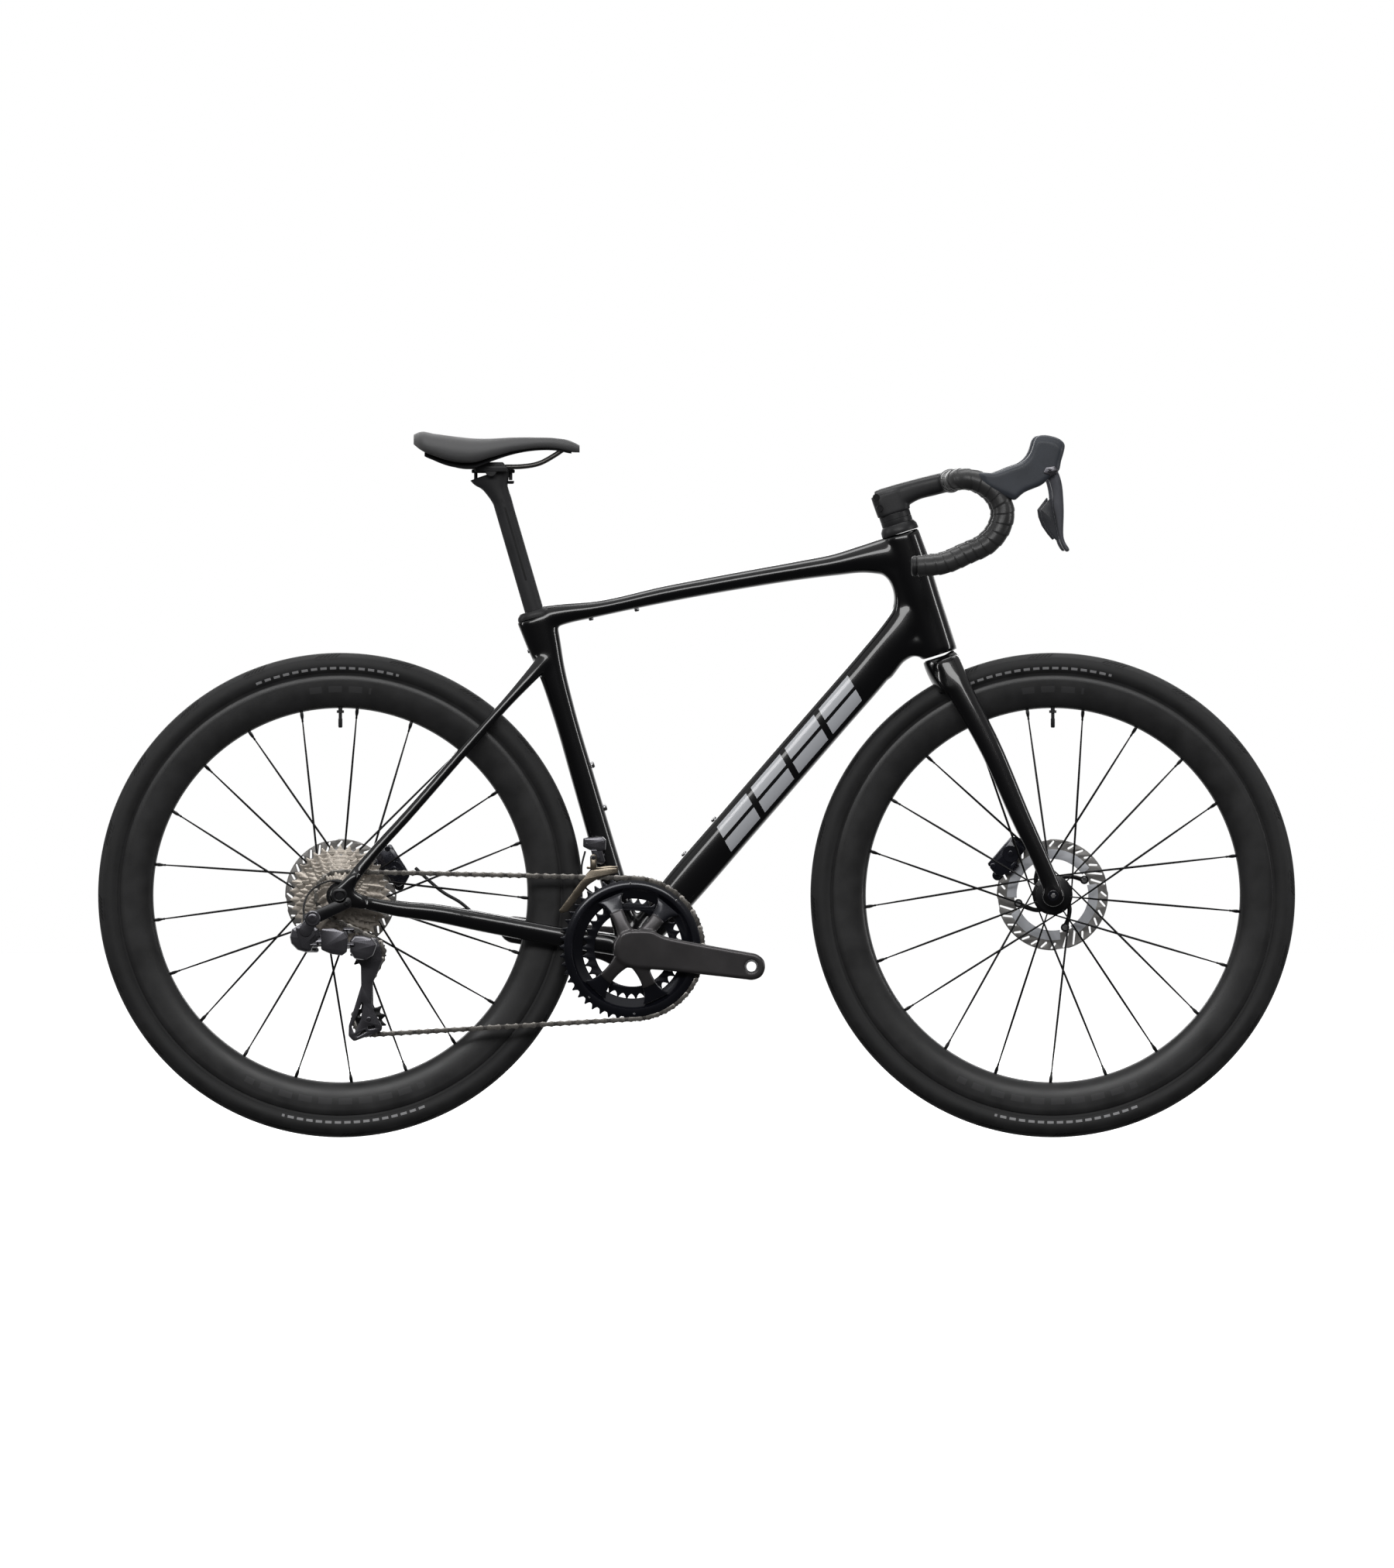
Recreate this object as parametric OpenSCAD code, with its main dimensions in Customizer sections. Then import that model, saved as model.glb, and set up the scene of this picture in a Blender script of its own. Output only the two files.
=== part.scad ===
// Road bicycle with disc brakes and electronic shifting, in millimetres.
// +X forward, +Y to the rider's left, +Z up. The origin is on the ground,
// midway between the wheels. The chain is on the -Y side.

/* [Wheels] */
// Radius of an inflated tyre
tyre_r = 348; // [347:0.5:349]
// Width of an inflated tyre
tyre_w = 34; // [30:1:34]
// Radius of the rim's outer edge
rim_r = 316; // [315:0.5:317]
// Depth of the rim, from its outer edge to the spoke bed
rim_depth = 47.5; // [40:0.5:50]
// Distance between the two axles
wheelbase = 1023; // [1020:1:1030]
// Radius of a spoke
spoke_r = 1; // [0.8:0.1:1.2]
// Radius of a brake rotor
rotor_r = 80; // [79:0.5:80]

/* [Frame] */
// Horizontal distance from the rear axle to the crank axle
rear_reach = 419.5; // [419.5]
// Drop of the crank axle below the wheel axles
bb_drop = 76; // [76]
// Angle of the steering axis, from the ground
head_angle = 72.3; // [72.3]
// Angle of the seat tube, from the ground
seat_angle = 73.75; // [73.75]
// Diameter of the seatpost
post_d = 27.2; // [27.2]

/* [Drivetrain] */
// Teeth on the large chainring
ring_teeth = 50; // [50]
// Teeth on the small chainring
small_teeth = 34; // [34]
// Teeth on the sprocket that the chain is on
chain_teeth = 17; // [17]
// Teeth on each derailleur pulley
pulley_teeth = 11; // [11]
// Length of each crank arm, between its axes
crank_l = 172.5; // [170:0.5:175]
// Angle of the right crank arm below level, towards the front
crank_dip = 8.5; // [0:0.5:12]

/* [Cockpit] */
// Half of the handlebar's width between the centres of its hooks
bar_half = 207; // [200:1:210]
// Radius of the handlebar with its tape
tape_r = 15.5; // [15:0.1:16]

/* [Hidden] */
$fn = 64;

// Colours
gloss_black = [0.03, 0.03, 0.035];
satin_black = [0.10, 0.10, 0.11];
rubber_grey = [0.20, 0.21, 0.24];
gunmetal = [0.28, 0.28, 0.33];
warm_grey = [0.22, 0.20, 0.20];
silver = [0.75, 0.75, 0.76];
champagne = [0.78, 0.72, 0.64];
steel = [0.55, 0.54, 0.52];
bronze = [0.45, 0.38, 0.30];

// Places in the side plane, as [x, z]
rear_axle = [-wheelbase / 2, tyre_r];
front_axle = [wheelbase / 2, tyre_r];
bb = [rear_axle.x + rear_reach, rear_axle.y - bb_drop];
pitch = 12.7;
guide = [-471, 266];
tension = [-470.13, 170.6];
lever_pivot = [503.4, 958.2];
steer_top = [291.6, 871.7];
cage_pivot = [-482, 273];

// Places across the bicycle
outer_ring_y = -47.5;
inner_ring_y = -40.5;
chain_y = -44.25;
sprocket_gap = 3.55;
front_rotor_y = 35;
rear_rotor_y = 52;
rotor_t = 1.8;
fit = 0.05;
axle_r = 6;
steerer_r = 14.3;
spindle_r = 12;
post_r = post_d / 2;

steer_tilt = 90 - head_angle;
seat_tilt = 90 - seat_angle;
spoke_count = 21;

// ---- Vectors and lofts --------------------------------------------------

function unit(v) = v / norm(v);
function tangent(p, i) = unit(p[min(i + 1, len(p) - 1)] - p[max(i - 1, 0)]);
function square_off(v, t) = unit(v - (v * t) * t);

// A sideways direction for each point of a path, carried along it without twist
function sideways(p, ref) = [
    for (i = 0, a = square_off(ref, tangent(p, 0)); i < len(p);
         i = i + 1, a = i < len(p) ? square_off(a, tangent(p, i)) : a) a
];

function power(v, e) = sign(v) * pow(abs(v), 2 / e);

// A superellipse of half sizes wa and wb round the point c
function section(c, a, t, wa, wb, e, n) = [
    for (j = [0:n - 1])
        c + a * wa * power(cos(360 * j / n), e)
          + cross(t, a) * wb * power(sin(360 * j / n), e)
];

// A closed solid through stations, each [point, half width, half depth]
module loft(st, ref = [0, 1, 0], e = 2.3, n = 16) {
    p = [for (s = st) s[0]];
    side = sideways(p, ref);
    m = len(st);
    points = [for (i = [0:m - 1]) each section(p[i], side[i], tangent(p, i), st[i][1], st[i][2], e, n)];
    walls = [
        for (i = [0:m - 2], j = [0:n - 1])
            let (k = (j + 1) % n)
            each [[i * n + j, (i + 1) * n + k, i * n + k], [i * n + j, (i + 1) * n + j, (i + 1) * n + k]]
    ];
    ends = [[for (j = [0:n - 1]) j], [for (j = [n - 1:-1:0]) (m - 1) * n + j]];
    polyhedron(points, concat(walls, ends));
}

// A point on the smooth curve through p, at u from 0 to len(p) - 1
function curve(p, u) =
    let (i = min(floor(u), len(p) - 2), t = u - i,
         a = p[max(i - 1, 0)], b = p[i], c = p[i + 1], d = p[min(i + 2, len(p) - 1)])
    0.5 * (2 * b + (c - a) * t + (2 * a - 5 * b + 4 * c - d) * t * t
           + (3 * b - a - 3 * c + d) * t * t * t);
function smooth(p, step) = [for (u = [0:step:len(p) - 1]) curve(p, u)];

// A round tube of radius r along points
module tube(p, r, n = 10, ref = [0, 1, 0.01]) loft([for (q = p) [q, r, r]], ref, 2, n);

// A hollow sleeve along points, with an outer and an inner radius
module sleeve(p, r_out, r_in, n, ref) {
    side = sideways(p, ref);
    m = len(p);
    points = [for (r = [r_out, r_in], i = [0:m - 1]) each section(p[i], side[i], tangent(p, i), r, r, 2, n)];
    inner = m * n;
    walls = [
        for (i = [0:m - 2], j = [0:n - 1])
            let (k = (j + 1) % n, a = i * n, b = a + n)
            each [[a + j, b + k, a + k], [a + j, b + j, b + k],
                  [inner + a + j, inner + a + k, inner + b + k], [inner + a + j, inner + b + k, inner + b + j]]
    ];
    last = (m - 1) * n;
    ends = [
        for (j = [0:n - 1])
            let (k = (j + 1) % n)
            each [[j, k, inner + k], [j, inner + k, inner + j],
                  [last + k, last + j, inner + last + j], [last + k, inner + last + j, inner + last + k]]
    ];
    polyhedron(points, concat(walls, ends));
}

// ---- Exact building blocks ----------------------------------------------

// Anything drawn in the side plane, spread from y0 to y1
module slab(y0, y1) translate([0, y1, 0]) rotate([90, 0, 0]) linear_extrude(y1 - y0) children();

// A shaft along Y at [x, z]
module shaft(c, r, y0, y1) translate([c.x, y1, c.y]) rotate([90, 0, 0]) cylinder(h = y1 - y0, r = r);

// A round bar between two points
module rod(p, q, r) {
    v = q - p;
    translate(p) rotate([0, acos(v.z / norm(v)), atan2(v.y, v.x)]) cylinder(h = norm(v), r = r);
}

// A strip in the side plane with round ends, a little fuller than its sides
end_swell = 0.6;
module strip(p, q, w) {
    v = q - p;
    translate(p) circle(d = w + end_swell);
    translate(q) circle(d = w + end_swell);
    translate(p) rotate(atan2(v.y, v.x)) translate([0, -w / 2]) square([norm(v), w]);
}

// Children drawn about an axle, turned so that their Z lies along +Y
module on_axle(c) translate([c.x, 0, c.y]) rotate([-90, 0, 0]) children();

// Children drawn about the steering or seat axis, with Z up along it
module on_steering() translate([steer_top.x, 0, steer_top.y]) rotate([0, -steer_tilt, 0]) children();
module on_seat_tube() translate([bb.x, 0, bb.y]) rotate([0, -seat_tilt, 0]) children();

function along_seat(s) = [bb.x - s * sin(seat_tilt), 0, bb.y + s * cos(seat_tilt)];
function along_steering(s) = [steer_top.x - s * sin(steer_tilt), 0, steer_top.y + s * cos(steer_tilt)];

// ---- Frame --------------------------------------------------------------

top_tube = [
    [[-232, 0, 742], 16, 20], [[-190, 0, 752], 16, 15], [[-150, 0, 758], 16, 12],
    [[-44, 0, 780.5], 16.5, 12.2], [[67, 0, 801], 18, 12.8], [[150, 0, 815], 19, 14],
    [[200, 0, 823], 20, 16], [[240, 0, 829], 21, 20], [[272, 0, 831], 22, 27], [[300, 0, 831], 22, 32]
];
down_tube = [
    [[-80, 0, 288], 24, 24], [[-30, 0, 348], 25, 28], [[62, 0, 455], 25.5, 28.7],
    [[196, 0, 610], 25.5, 28.7], [[254, 0, 677], 25.5, 28.7], [[290, 0, 722], 25, 28], [[312, 0, 756], 22, 26]
];
head_tube = [
    [along_steering(-187), 27.5, 27], [along_steering(-150), 27, 27], [along_steering(-90), 26, 27],
    [along_steering(-40), 25.5, 28], [along_steering(-4.6), 25, 27]
];
seat_tube = [
    [along_seat(8), 20, 20], [along_seat(120), 19, 18], [along_seat(250), 17.5, 16.8],
    [along_seat(360), 17, 16.8], [along_seat(420), 17.5, 19], [along_seat(455), 18, 21], [along_seat(499), 18.5, 23]
];
// Stays on the left side; the right side mirrors them
chainstay = [
    [[-500, 69.5, 345], 4.5, 13], [[-474, 66, 338], 6, 10], [[-430, 60, 329], 7.5, 11],
    [[-378, 53, 323], 9, 12.5], [[-311, 43, 310.5], 9.5, 14], [[-240, 34.5, 297], 9, 14.5],
    [[-180, 29.5, 286], 9, 14.5], [[-130, 27, 279], 10, 15], [[-96, 24, 273], 11, 15]
];
seatstay = [
    [[-506, 69.5, 356], 4.5, 11], [[-488, 66, 379], 5.5, 9], [[-460, 60, 413], 6, 8],
    [[-416, 51, 461.5], 6.5, 7.6], [[-330, 38, 560], 7, 7.6], [[-265, 28, 633], 8, 8],
    [[-237, 19, 664], 9, 10], [[-214, 9, 690], 9, 12]
];
dropout_y = [71, 77];
head_bearing_r = [23.5, 20.9];
lower_steerer_r = 16.4;
bb_bore_r = 20.5;
bb_half = 43.25;

module stay_pair(st) {
    loft(st, n = 12);
    mirror([0, 1, 0]) loft(st, n = 12);
}

module dropout(y0, y1) slab(y0, y1) {
    translate(rear_axle) circle(r = 15);
    strip(rear_axle, rear_axle + [34, -10], 20);
    strip(rear_axle, rear_axle + [22, 24], 17);
}

module frame() color(gloss_black) difference() {
    union() {
        loft(top_tube);
        loft(down_tube, e = 2.6);
        loft(head_tube);
        loft(seat_tube);
        stay_pair(chainstay);
        stay_pair(seatstay);
        shaft(bb, 25, -bb_half, bb_half);
        dropout(dropout_y[0], dropout_y[1]);
        dropout(-dropout_y[1], -dropout_y[0]);
        dropout(61.5, 71);
        dropout(-71, -66);
    }
    shaft(bb, bb_bore_r, -60, 60);
    shaft(rear_axle, axle_r, -90, 90);
    on_axle(rear_axle) cylinder(r = 16, h = 2 * 71, center = true);
    on_steering() {
        translate([0, 0, -195]) cylinder(r = 18, h = 200);
        translate([0, 0, -195]) cylinder(r = head_bearing_r[0], h = 19);
        translate([0, 0, -12.6]) cylinder(r = head_bearing_r[1], h = 20);
        translate([0, 0, -4.6]) cylinder(r = 40, h = 20);
        translate([0, 0, -207]) cylinder(r = 60, h = 20);
    }
    on_seat_tube() translate([0, 0, 250]) cylinder(r = post_r + fit, h = 300);
    on_seat_tube() translate([0, 0, 496]) cylinder(r = 25, h = 60);
    // Room for the rotor, and for the cassette's stepped cone
    on_axle(rear_axle) cylinder(r = rotor_r + 3, h = 55.5);
    on_axle(rear_axle) translate([0, 0, -66.3]) cylinder(r1 = 30, r2 = 80, h = 50);
}

module derailleur_hanger() color(satin_black) difference() {
    union() {
        slab(-83, -77) strip(rear_axle + [9, -10], [-550.3, 315.6], 15);
        slab(-83, -77) translate(rear_axle) circle(r = 11);
        shaft([-550.3, 315.6], 11.5, -90, -77);
        shaft(rear_axle + [10, -10.7], 4, -86, -83);
    }
    shaft(rear_axle, axle_r, -95, -70);
}

module seat_clamp() color(satin_black) {
    difference() {
        loft([[along_seat(496), 19, 23.5], [along_seat(501), 18.5, 22.5], [along_seat(506), 17, 20]]);
        on_seat_tube() translate([0, 0, 480]) cylinder(r = post_r + fit, h = 40);
    }
}

module frame_bearings() color(silver) {
    on_steering() {
        translate([0, 0, -187]) bearing(head_bearing_r[0], lower_steerer_r + fit, 11);
        translate([0, 0, -12.6]) bearing(head_bearing_r[1], steerer_r + fit, 8);
    }
    for (s = [-1, 1])
        translate([bb.x, s * (bb_half - 5), bb.y]) rotate([90, 0, 0]) translate([0, 0, -5])
            bearing(bb_bore_r, spindle_r + fit, 10);
}
module bearing(r_out, r_in, h) difference() {
    cylinder(r = r_out, h = h);
    translate([0, 0, -1]) cylinder(r = r_in, h = h + 2);
}

// A socket-head bolt that stands out of a tube along the direction d
module bolt(p, d, r = 4, h = 5) rod(p, p + d * h, r);

function down_normal(a) = [-sin(49.4) * a, 0, cos(49.4) * a];
module accessory_bolts() color(satin_black) {
    for (p = [[5, 388], [47.5, 437.5]])
        bolt([p.x, 0, p.y] + down_normal(28), down_normal(1), 5, 4);
    for (s = [205, 269])
        bolt(along_seat(s) + [16, 0, 4.7], [cos(seat_tilt), 0, sin(seat_tilt)], 5, 5);
    for (p = [[-151.8, 745.6], [-86.2, 757.8]])
        bolt([p.x, 0, p.y + 2], [0.2, 0, -0.98], 3.5, 5);
    for (s = [451, 476])
        bolt(along_seat(s) - [20, 0, 5.8], -[cos(seat_tilt), 0, sin(seat_tilt)], 3.2, 6);
}

// Caliper, drawn with the rotor in the plane z = 0 of its own frame and the
// mount plane below it; u runs along the mount
module caliper_body() difference() {
    union() {
        slab(-11.5, 15) strip([-14, 0], [14, 0], 32);
        shaft([-2, 0], 12, -12.5, -8);
        for (s = [-1, 1]) {
            shaft([s * 30, -6], 6.5, 2, 9);
            slab(2, 8) strip([s * 30, -6], [s * 20, 6], 8);
        }
    }
    translate([-60, -4.4, -30]) cube([120, 8.8, 41]);
}
// Places a caliper at [x, z], with its mount's run turned by an angle
module place_caliper(c, angle, y) translate([c.x, y, c.y]) rotate([0, -angle, 0]) children();

rear_caliper = [-438.5, 389.6];
rear_caliper_turn = -58;
front_caliper = [447.6, 402.5];
front_caliper_turn = 49;

module rear_brake_caliper() color(satin_black)
    place_caliper(rear_caliper, rear_caliper_turn, rear_rotor_y) caliper_body();
module front_brake_caliper() color(satin_black)
    place_caliper(front_caliper, front_caliper_turn, front_rotor_y) caliper_body();

// A pad on one side of a rotor: side is -1 or 1
pad_gap = 0.45;
pad_t = 2.6;
module pad(side) translate([-11, side > 0 ? rotor_t / 2 + pad_gap : -rotor_t / 2 - pad_gap - pad_t, -15])
    cube([22, pad_t, 16]);
module rear_inner_pad() color(steel) place_caliper(rear_caliper, rear_caliper_turn, rear_rotor_y) pad(-1);
module rear_outer_pad() color(steel) place_caliper(rear_caliper, rear_caliper_turn, rear_rotor_y) pad(1);
module front_inner_pad() color(steel) place_caliper(front_caliper, front_caliper_turn, front_rotor_y) pad(-1);
module front_outer_pad() color(steel) place_caliper(front_caliper, front_caliper_turn, front_rotor_y) pad(1);

// Brake hose and derailleur wires held by the frame
rear_hose = [[-404, 53, 383], [-385, 53, 368], [-362, 53, 351], [-340, 51, 336], [-325, 47, 322]];
shift_wire = [
    [-512, -66, 368], [-522, -68, 369.5], [-541, -71, 364], [-557, -75, 350], [-563, -78, 332], [-561, -80, 308]
];
fd_wire = [[-160, -22, 405], [-165, -22, 385], [-160, -18, 360], [-140, -14, 345]];
module frame_cables() color(satin_black) {
    tube(smooth(rear_hose, 0.5), 2.5, 8);
    tube(smooth(shift_wire, 0.34), 1.4, 8);
    tube(smooth(fd_wire, 0.5), 1.3, 8);
}

module rear_thru_axle() color(satin_black) {
    shaft(rear_axle, axle_r, -84, 77);
    shaft(rear_axle, 9, 77, 81);
}

// ---- Gears and chain ----------------------------------------------------

function pitch_r(n) = pitch / 2 / sin(180 / n);

// A toothed outline with a valley at the angle a0
module teeth(n, a0, tip = 3.9, root = 4.1) {
    r = pitch_r(n);
    step = 360 / n;
    polygon([
        for (i = [0:n - 1], k = [-0.30, -0.16, 0.16, 0.30])
            let (q = a0 + (i + 0.5 + k * (abs(k) < 0.2 ? 0.75 : 1)) * step, d = abs(k) < 0.2 ? r + tip : r - root)
            [d * cos(q), d * sin(q)]
    ]);
}

// The chain's loop: circles of [x, z, pitch radius, turn], turn 1 for clockwise
loop = [
    [bb.x, bb.y, pitch_r(ring_teeth), 1], [tension.x, tension.y, pitch_r(pulley_teeth), 1],
    [guide.x, guide.y, pitch_r(pulley_teeth), -1], [rear_axle.x, rear_axle.y, pitch_r(chain_teeth), 1]
];
wheel_y = [outer_ring_y, chain_y, chain_y, chain_y];
function centre(i) = [loop[i % 4][0], loop[i % 4][1]];
function run_gain(i) = loop[(i + 1) % 4][3] * loop[(i + 1) % 4][2] - loop[i % 4][3] * loop[i % 4][2];
function run_vector(i) = centre(i + 1) - centre(i);
function run_angle(i) =
    let (v = run_vector(i)) atan2(v.y, v.x) + asin(run_gain(i) / norm(v));
function run_length(i) = sqrt(pow(norm(run_vector(i)), 2) - pow(run_gain(i), 2));
function left(a) = [-sin(a), cos(a)];
function touch(i, a) = centre(i) + loop[i % 4][3] * loop[i % 4][2] * left(a);
function wrap(a) = a - 360 * floor(a / 360);
function turn_angle(i) = wrap(loop[i % 4][3] * (run_angle((i + 3) % 4) - run_angle(i % 4)));
function arc_length(i) = turn_angle(i) * PI / 180 * loop[i][2];
seg = [for (i = [0:3]) each [arc_length(i), run_length(i)]];
function before(k) = k == 0 ? 0 : seg[k - 1] + before(k - 1);
chain_length = before(8);
links = 2 * round(chain_length / pitch / 2);
link_pitch = chain_length / links;

// A pin's place at the distance s along the loop, as [x, y, z]
function pin_on(k, s) =
    let (i = floor(k / 2), a0 = run_angle((i + 3) % 4), a1 = run_angle(i))
    k % 2 == 0
        ? let (a = a0 - loop[i][3] * s / loop[i][2] * 180 / PI, p = touch(i, a)) [p.x, wheel_y[i], p.y]
        : let (p = touch(i, a1) + s * [cos(a1), sin(a1)], f = s / seg[k])
          [p.x, wheel_y[i] * (1 - f) + wheel_y[(i + 1) % 4] * f, p.y];
function pin_at(s, k = 0) = s < seg[k] || k == 7 ? pin_on(k, s) : pin_at(s - seg[k], k + 1);

// The angle of a valley on wheel i, from the first pin that lies on it
function valley(i) =
    let (s0 = before(2 * i), s = ceil(s0 / link_pitch - 0.001) * link_pitch, p = pin_at(s + 0.0001))
    atan2(p.z - centre(i).y, p.x - centre(i).x);

plate_half = 3.6;
module plate_arc(i, y0, y1) slab(y0, y1) {
    a0 = run_angle((i + 3) % 4) + 90 * loop[i][3];
    intersection() {
        difference() {
            translate(centre(i)) circle(r = loop[i][2] + plate_half, $fn = 96);
            translate(centre(i)) circle(r = loop[i][2] - plate_half, $fn = 96);
        }
        translate(centre(i)) polygon(concat([[0, 0]], [
            for (f = [0:0.125:1])
                let (a = a0 - loop[i][3] * f * turn_angle(i)) 1.3 * (loop[i][2] + 9) * [cos(a), sin(a)]
        ]));
    }
}
module plate_run(i, off) {
    p = pin_on(2 * i + 1, 0);
    q = pin_on(2 * i + 1, seg[2 * i + 1]);
    yaw = asin((q.y - p.y) / norm(q - p));
    translate(p) rotate([0, -run_angle(i), 0]) rotate([0, 0, yaw])
        translate([-0.4, off - 0.4, 0.15 - plate_half]) cube([norm(q - p) + 0.8, 0.8, 2 * plate_half - 0.3]);
}
module chain() color(steel) {
    for (off = [-1.85, 1.85], i = [0:3]) {
        plate_arc(i, wheel_y[i] + off - 0.45, wheel_y[i] + off + 0.45);
        plate_run(i, off);
    }
    for (j = [0:links - 1])
        let (p = pin_at(j * link_pitch)) shaft([p.x, p.z], 1.8, p.y - 2.5, p.y + 2.5);
}

cassette = [11, 12, 13, 14, 15, 17, 19, 21, 24, 27, 30, 34];
module cassette_sprockets() color(champagne) difference() {
    for (k = [0:len(cassette) - 1])
        let (y = chain_y + (k - 5) * sprocket_gap)
        slab(y - 0.8, y + 0.8) translate(rear_axle) teeth(cassette[k], valley(3));
    shaft(rear_axle, 17, -90, 0);
}
module freehub_body() color(champagne) difference() {
    union() {
        shaft(rear_axle, 17, -64, -20.5);
        shaft(rear_axle, 19, -65.5, -64);
        for (k = [0:10])
            let (y = chain_y + (k - 5) * sprocket_gap)
            shaft(rear_axle, 19, y + 0.8, y + sprocket_gap - 0.8);
    }
    shaft(rear_axle, axle_r + 4, -90, 0);
}

module outer_chainring() color(gloss_black) {
    slab(outer_ring_y - 0.95, outer_ring_y + 0.95) difference() {
        translate(bb) teeth(ring_teeth, valley(0));
        translate(bb) circle(r = 82);
    }
    on_axle(bb) translate([0, 0, outer_ring_y - 5]) difference() {
        cylinder(r = 95, h = 4.05);
        translate([0, 0, -1]) cylinder(r = 82, h = 6);
    }
}
spider_angles = [49.7, 113.6, 228, 295];
module inner_chainring() color(satin_black) {
    difference() {
        slab(inner_ring_y - 0.9, inner_ring_y + 0.9) difference() {
            translate(bb) teeth(small_teeth, valley(0));
            translate(bb) circle(r = 53);
        }
        for (a = spider_angles)
            shaft(bb + 57 * [cos(a), sin(a)], 3, -60, 0);
    }
}

crank_dir = [cos(crank_dip), -sin(crank_dip)];
crank_across = [sin(crank_dip), cos(crank_dip)];
pedal_hole_r = 7.1;
function on_crank(u, v) = bb + u * crank_dir + v * crank_across;
module crank_outline() {
    polygon([
        on_crank(-18, 22), on_crank(22, 29), on_crank(44, 22), on_crank(crank_l, 19.5),
        on_crank(crank_l, -19.5), on_crank(40, -24), on_crank(20, -25), on_crank(-18, -22)
    ]);
    translate(bb) circle(r = 25);
    translate(on_crank(crank_l, 0)) circle(r = 19.7);
}
module right_crank_arm() color(warm_grey) {
    difference() {
        union() {
            slab(-70, -58) crank_outline();
            shaft(bb, 22, -58, -bb_half - 1.25);
            slab(-58, -52.6) for (a = spider_angles)
                strip(bb + 16 * [cos(a), sin(a)], bb + 83 * [cos(a), sin(a)], 13);
            for (a = spider_angles)
                shaft(bb + 83 * [cos(a), sin(a)], 5, -52.6, outer_ring_y - 5);
            for (a = spider_angles)
                shaft(bb + 57 * [cos(a), sin(a)], 3, -52.7, inner_ring_y + 2);
        }
        shaft(on_crank(crank_l, 0), pedal_hole_r, -80, -40);
        shaft(bb, spindle_r, -56, 0);
    }
}
left_pedal = 2 * bb - on_crank(crank_l, 0);
module left_crank_arm() color(warm_grey) difference() {
    union() {
        slab(58, 70) {
            strip(bb, left_pedal, 33);
            translate(bb) circle(r = 22);
        }
        shaft(bb, 21, bb_half + 1.25, 58);
    }
    shaft(left_pedal, pedal_hole_r, 40, 80);
    shaft(bb, spindle_r, 0, 63);
}
module crank_spindle() color(silver) {
    shaft(bb, spindle_r, -56, 63);
}

// ---- Front derailleur ---------------------------------------------------

fd_rod = [-148, 402.5];
fd_rod_r = 3;
module front_derailleur_body() color(gunmetal) {
    slab(-39, -18) polygon([
        [-164, 432], [-133, 434], [-131, 420], [-139, 400], [-153, 399], [-163, 408]
    ]);
    slab(-26, -15) strip([-140, 428], [-132, 400], 11);
    shaft(fd_rod, fd_rod_r, -56, -30);
}
// The cage hangs from a pin and guides the chain's upper run
fd_tip = [-198, 326];
module fd_plate(y0, y1) slab(y0, y1) polygon([
    [-114, 388], [-152, 392], [-168, 381], fd_tip + [0, -3], fd_tip + [8, -4],
    [-176, 346], [-152, 370], [-128, 380], [-112, 381]
]);
module fd_cage() color(bronze) {
    fd_plate(-53.3, -52.1);
    fd_plate(-42.9, -41.9);
    slab(-53.2, -42) translate(fd_tip + [3.5, -1.5]) circle(r = 2.6);
    slab(-53.2, -42) strip([-156, 389], [-132, 386.5], 4);
    // The lug that rides on the rod
    difference() {
        slab(-54.5, -46.7) strip(fd_rod, [-148, 389], 9);
        shaft(fd_rod, fd_rod_r + fit, -60, -40);
    }
}

// ---- Rear derailleur ----------------------------------------------------

// The links turn about axes that lean out by link_lean from upright
link_lean = 25;
link_l = 42;
module at_link(p) translate(p) rotate([-link_lean, 0, 0]) children();
outer_link_pin = [-546, -81, 288];
inner_link_pin = [-546, -66, 281];
link_step = [link_l, 0, 0];

module rear_derailleur_body() color(gunmetal) difference() {
    union() {
        slab(-92, -62) {
            strip([-566, 300], [-569, 281], 25);
            strip([-552, 304], [-566, 296], 14);
        }
        shaft([-550.3, 315.6], 9, -96, -90);
        slab(-96, -90) strip([-550.3, 315.6], [-560, 300], 14);
        at_link(outer_link_pin) for (z = [-10, 6]) translate([-14, -6, z]) cube([18, 12, 4]);
        at_link(inner_link_pin) for (z = [-10, 6]) translate([-14, -4.5, z]) cube([17, 9, 4]);
    }
    at_link(outer_link_pin) translate([0, 0, -20]) cylinder(r = 2 + fit, h = 40);
    at_link(inner_link_pin) translate([0, 0, -20]) cylinder(r = 2 + fit, h = 40);
}
module link_bar(w) {
    translate([0, -w / 2, -5.5]) cube([link_l, w, 11]);
    for (x = [0, link_l]) translate([x, 0, -5.5]) cylinder(r = w / 2, h = 11);
}
module rd_outer_link() color(gunmetal) at_link(outer_link_pin) {
    link_bar(9);
    for (x = [0, link_l]) translate([x, 0, -10.5]) cylinder(r = 2, h = 21);
}
module rd_inner_link() color(gunmetal) at_link(inner_link_pin) {
    difference() {
        link_bar(7);
        translate([link_l, 0, -10]) cylinder(r = 2.3, h = 20);
    }
    translate([0, 0, -10.5]) cylinder(r = 2, h = 21);
}
cage_y = chain_y - 8.5;
cage_corner = tension + [-18.5, -23];
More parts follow.
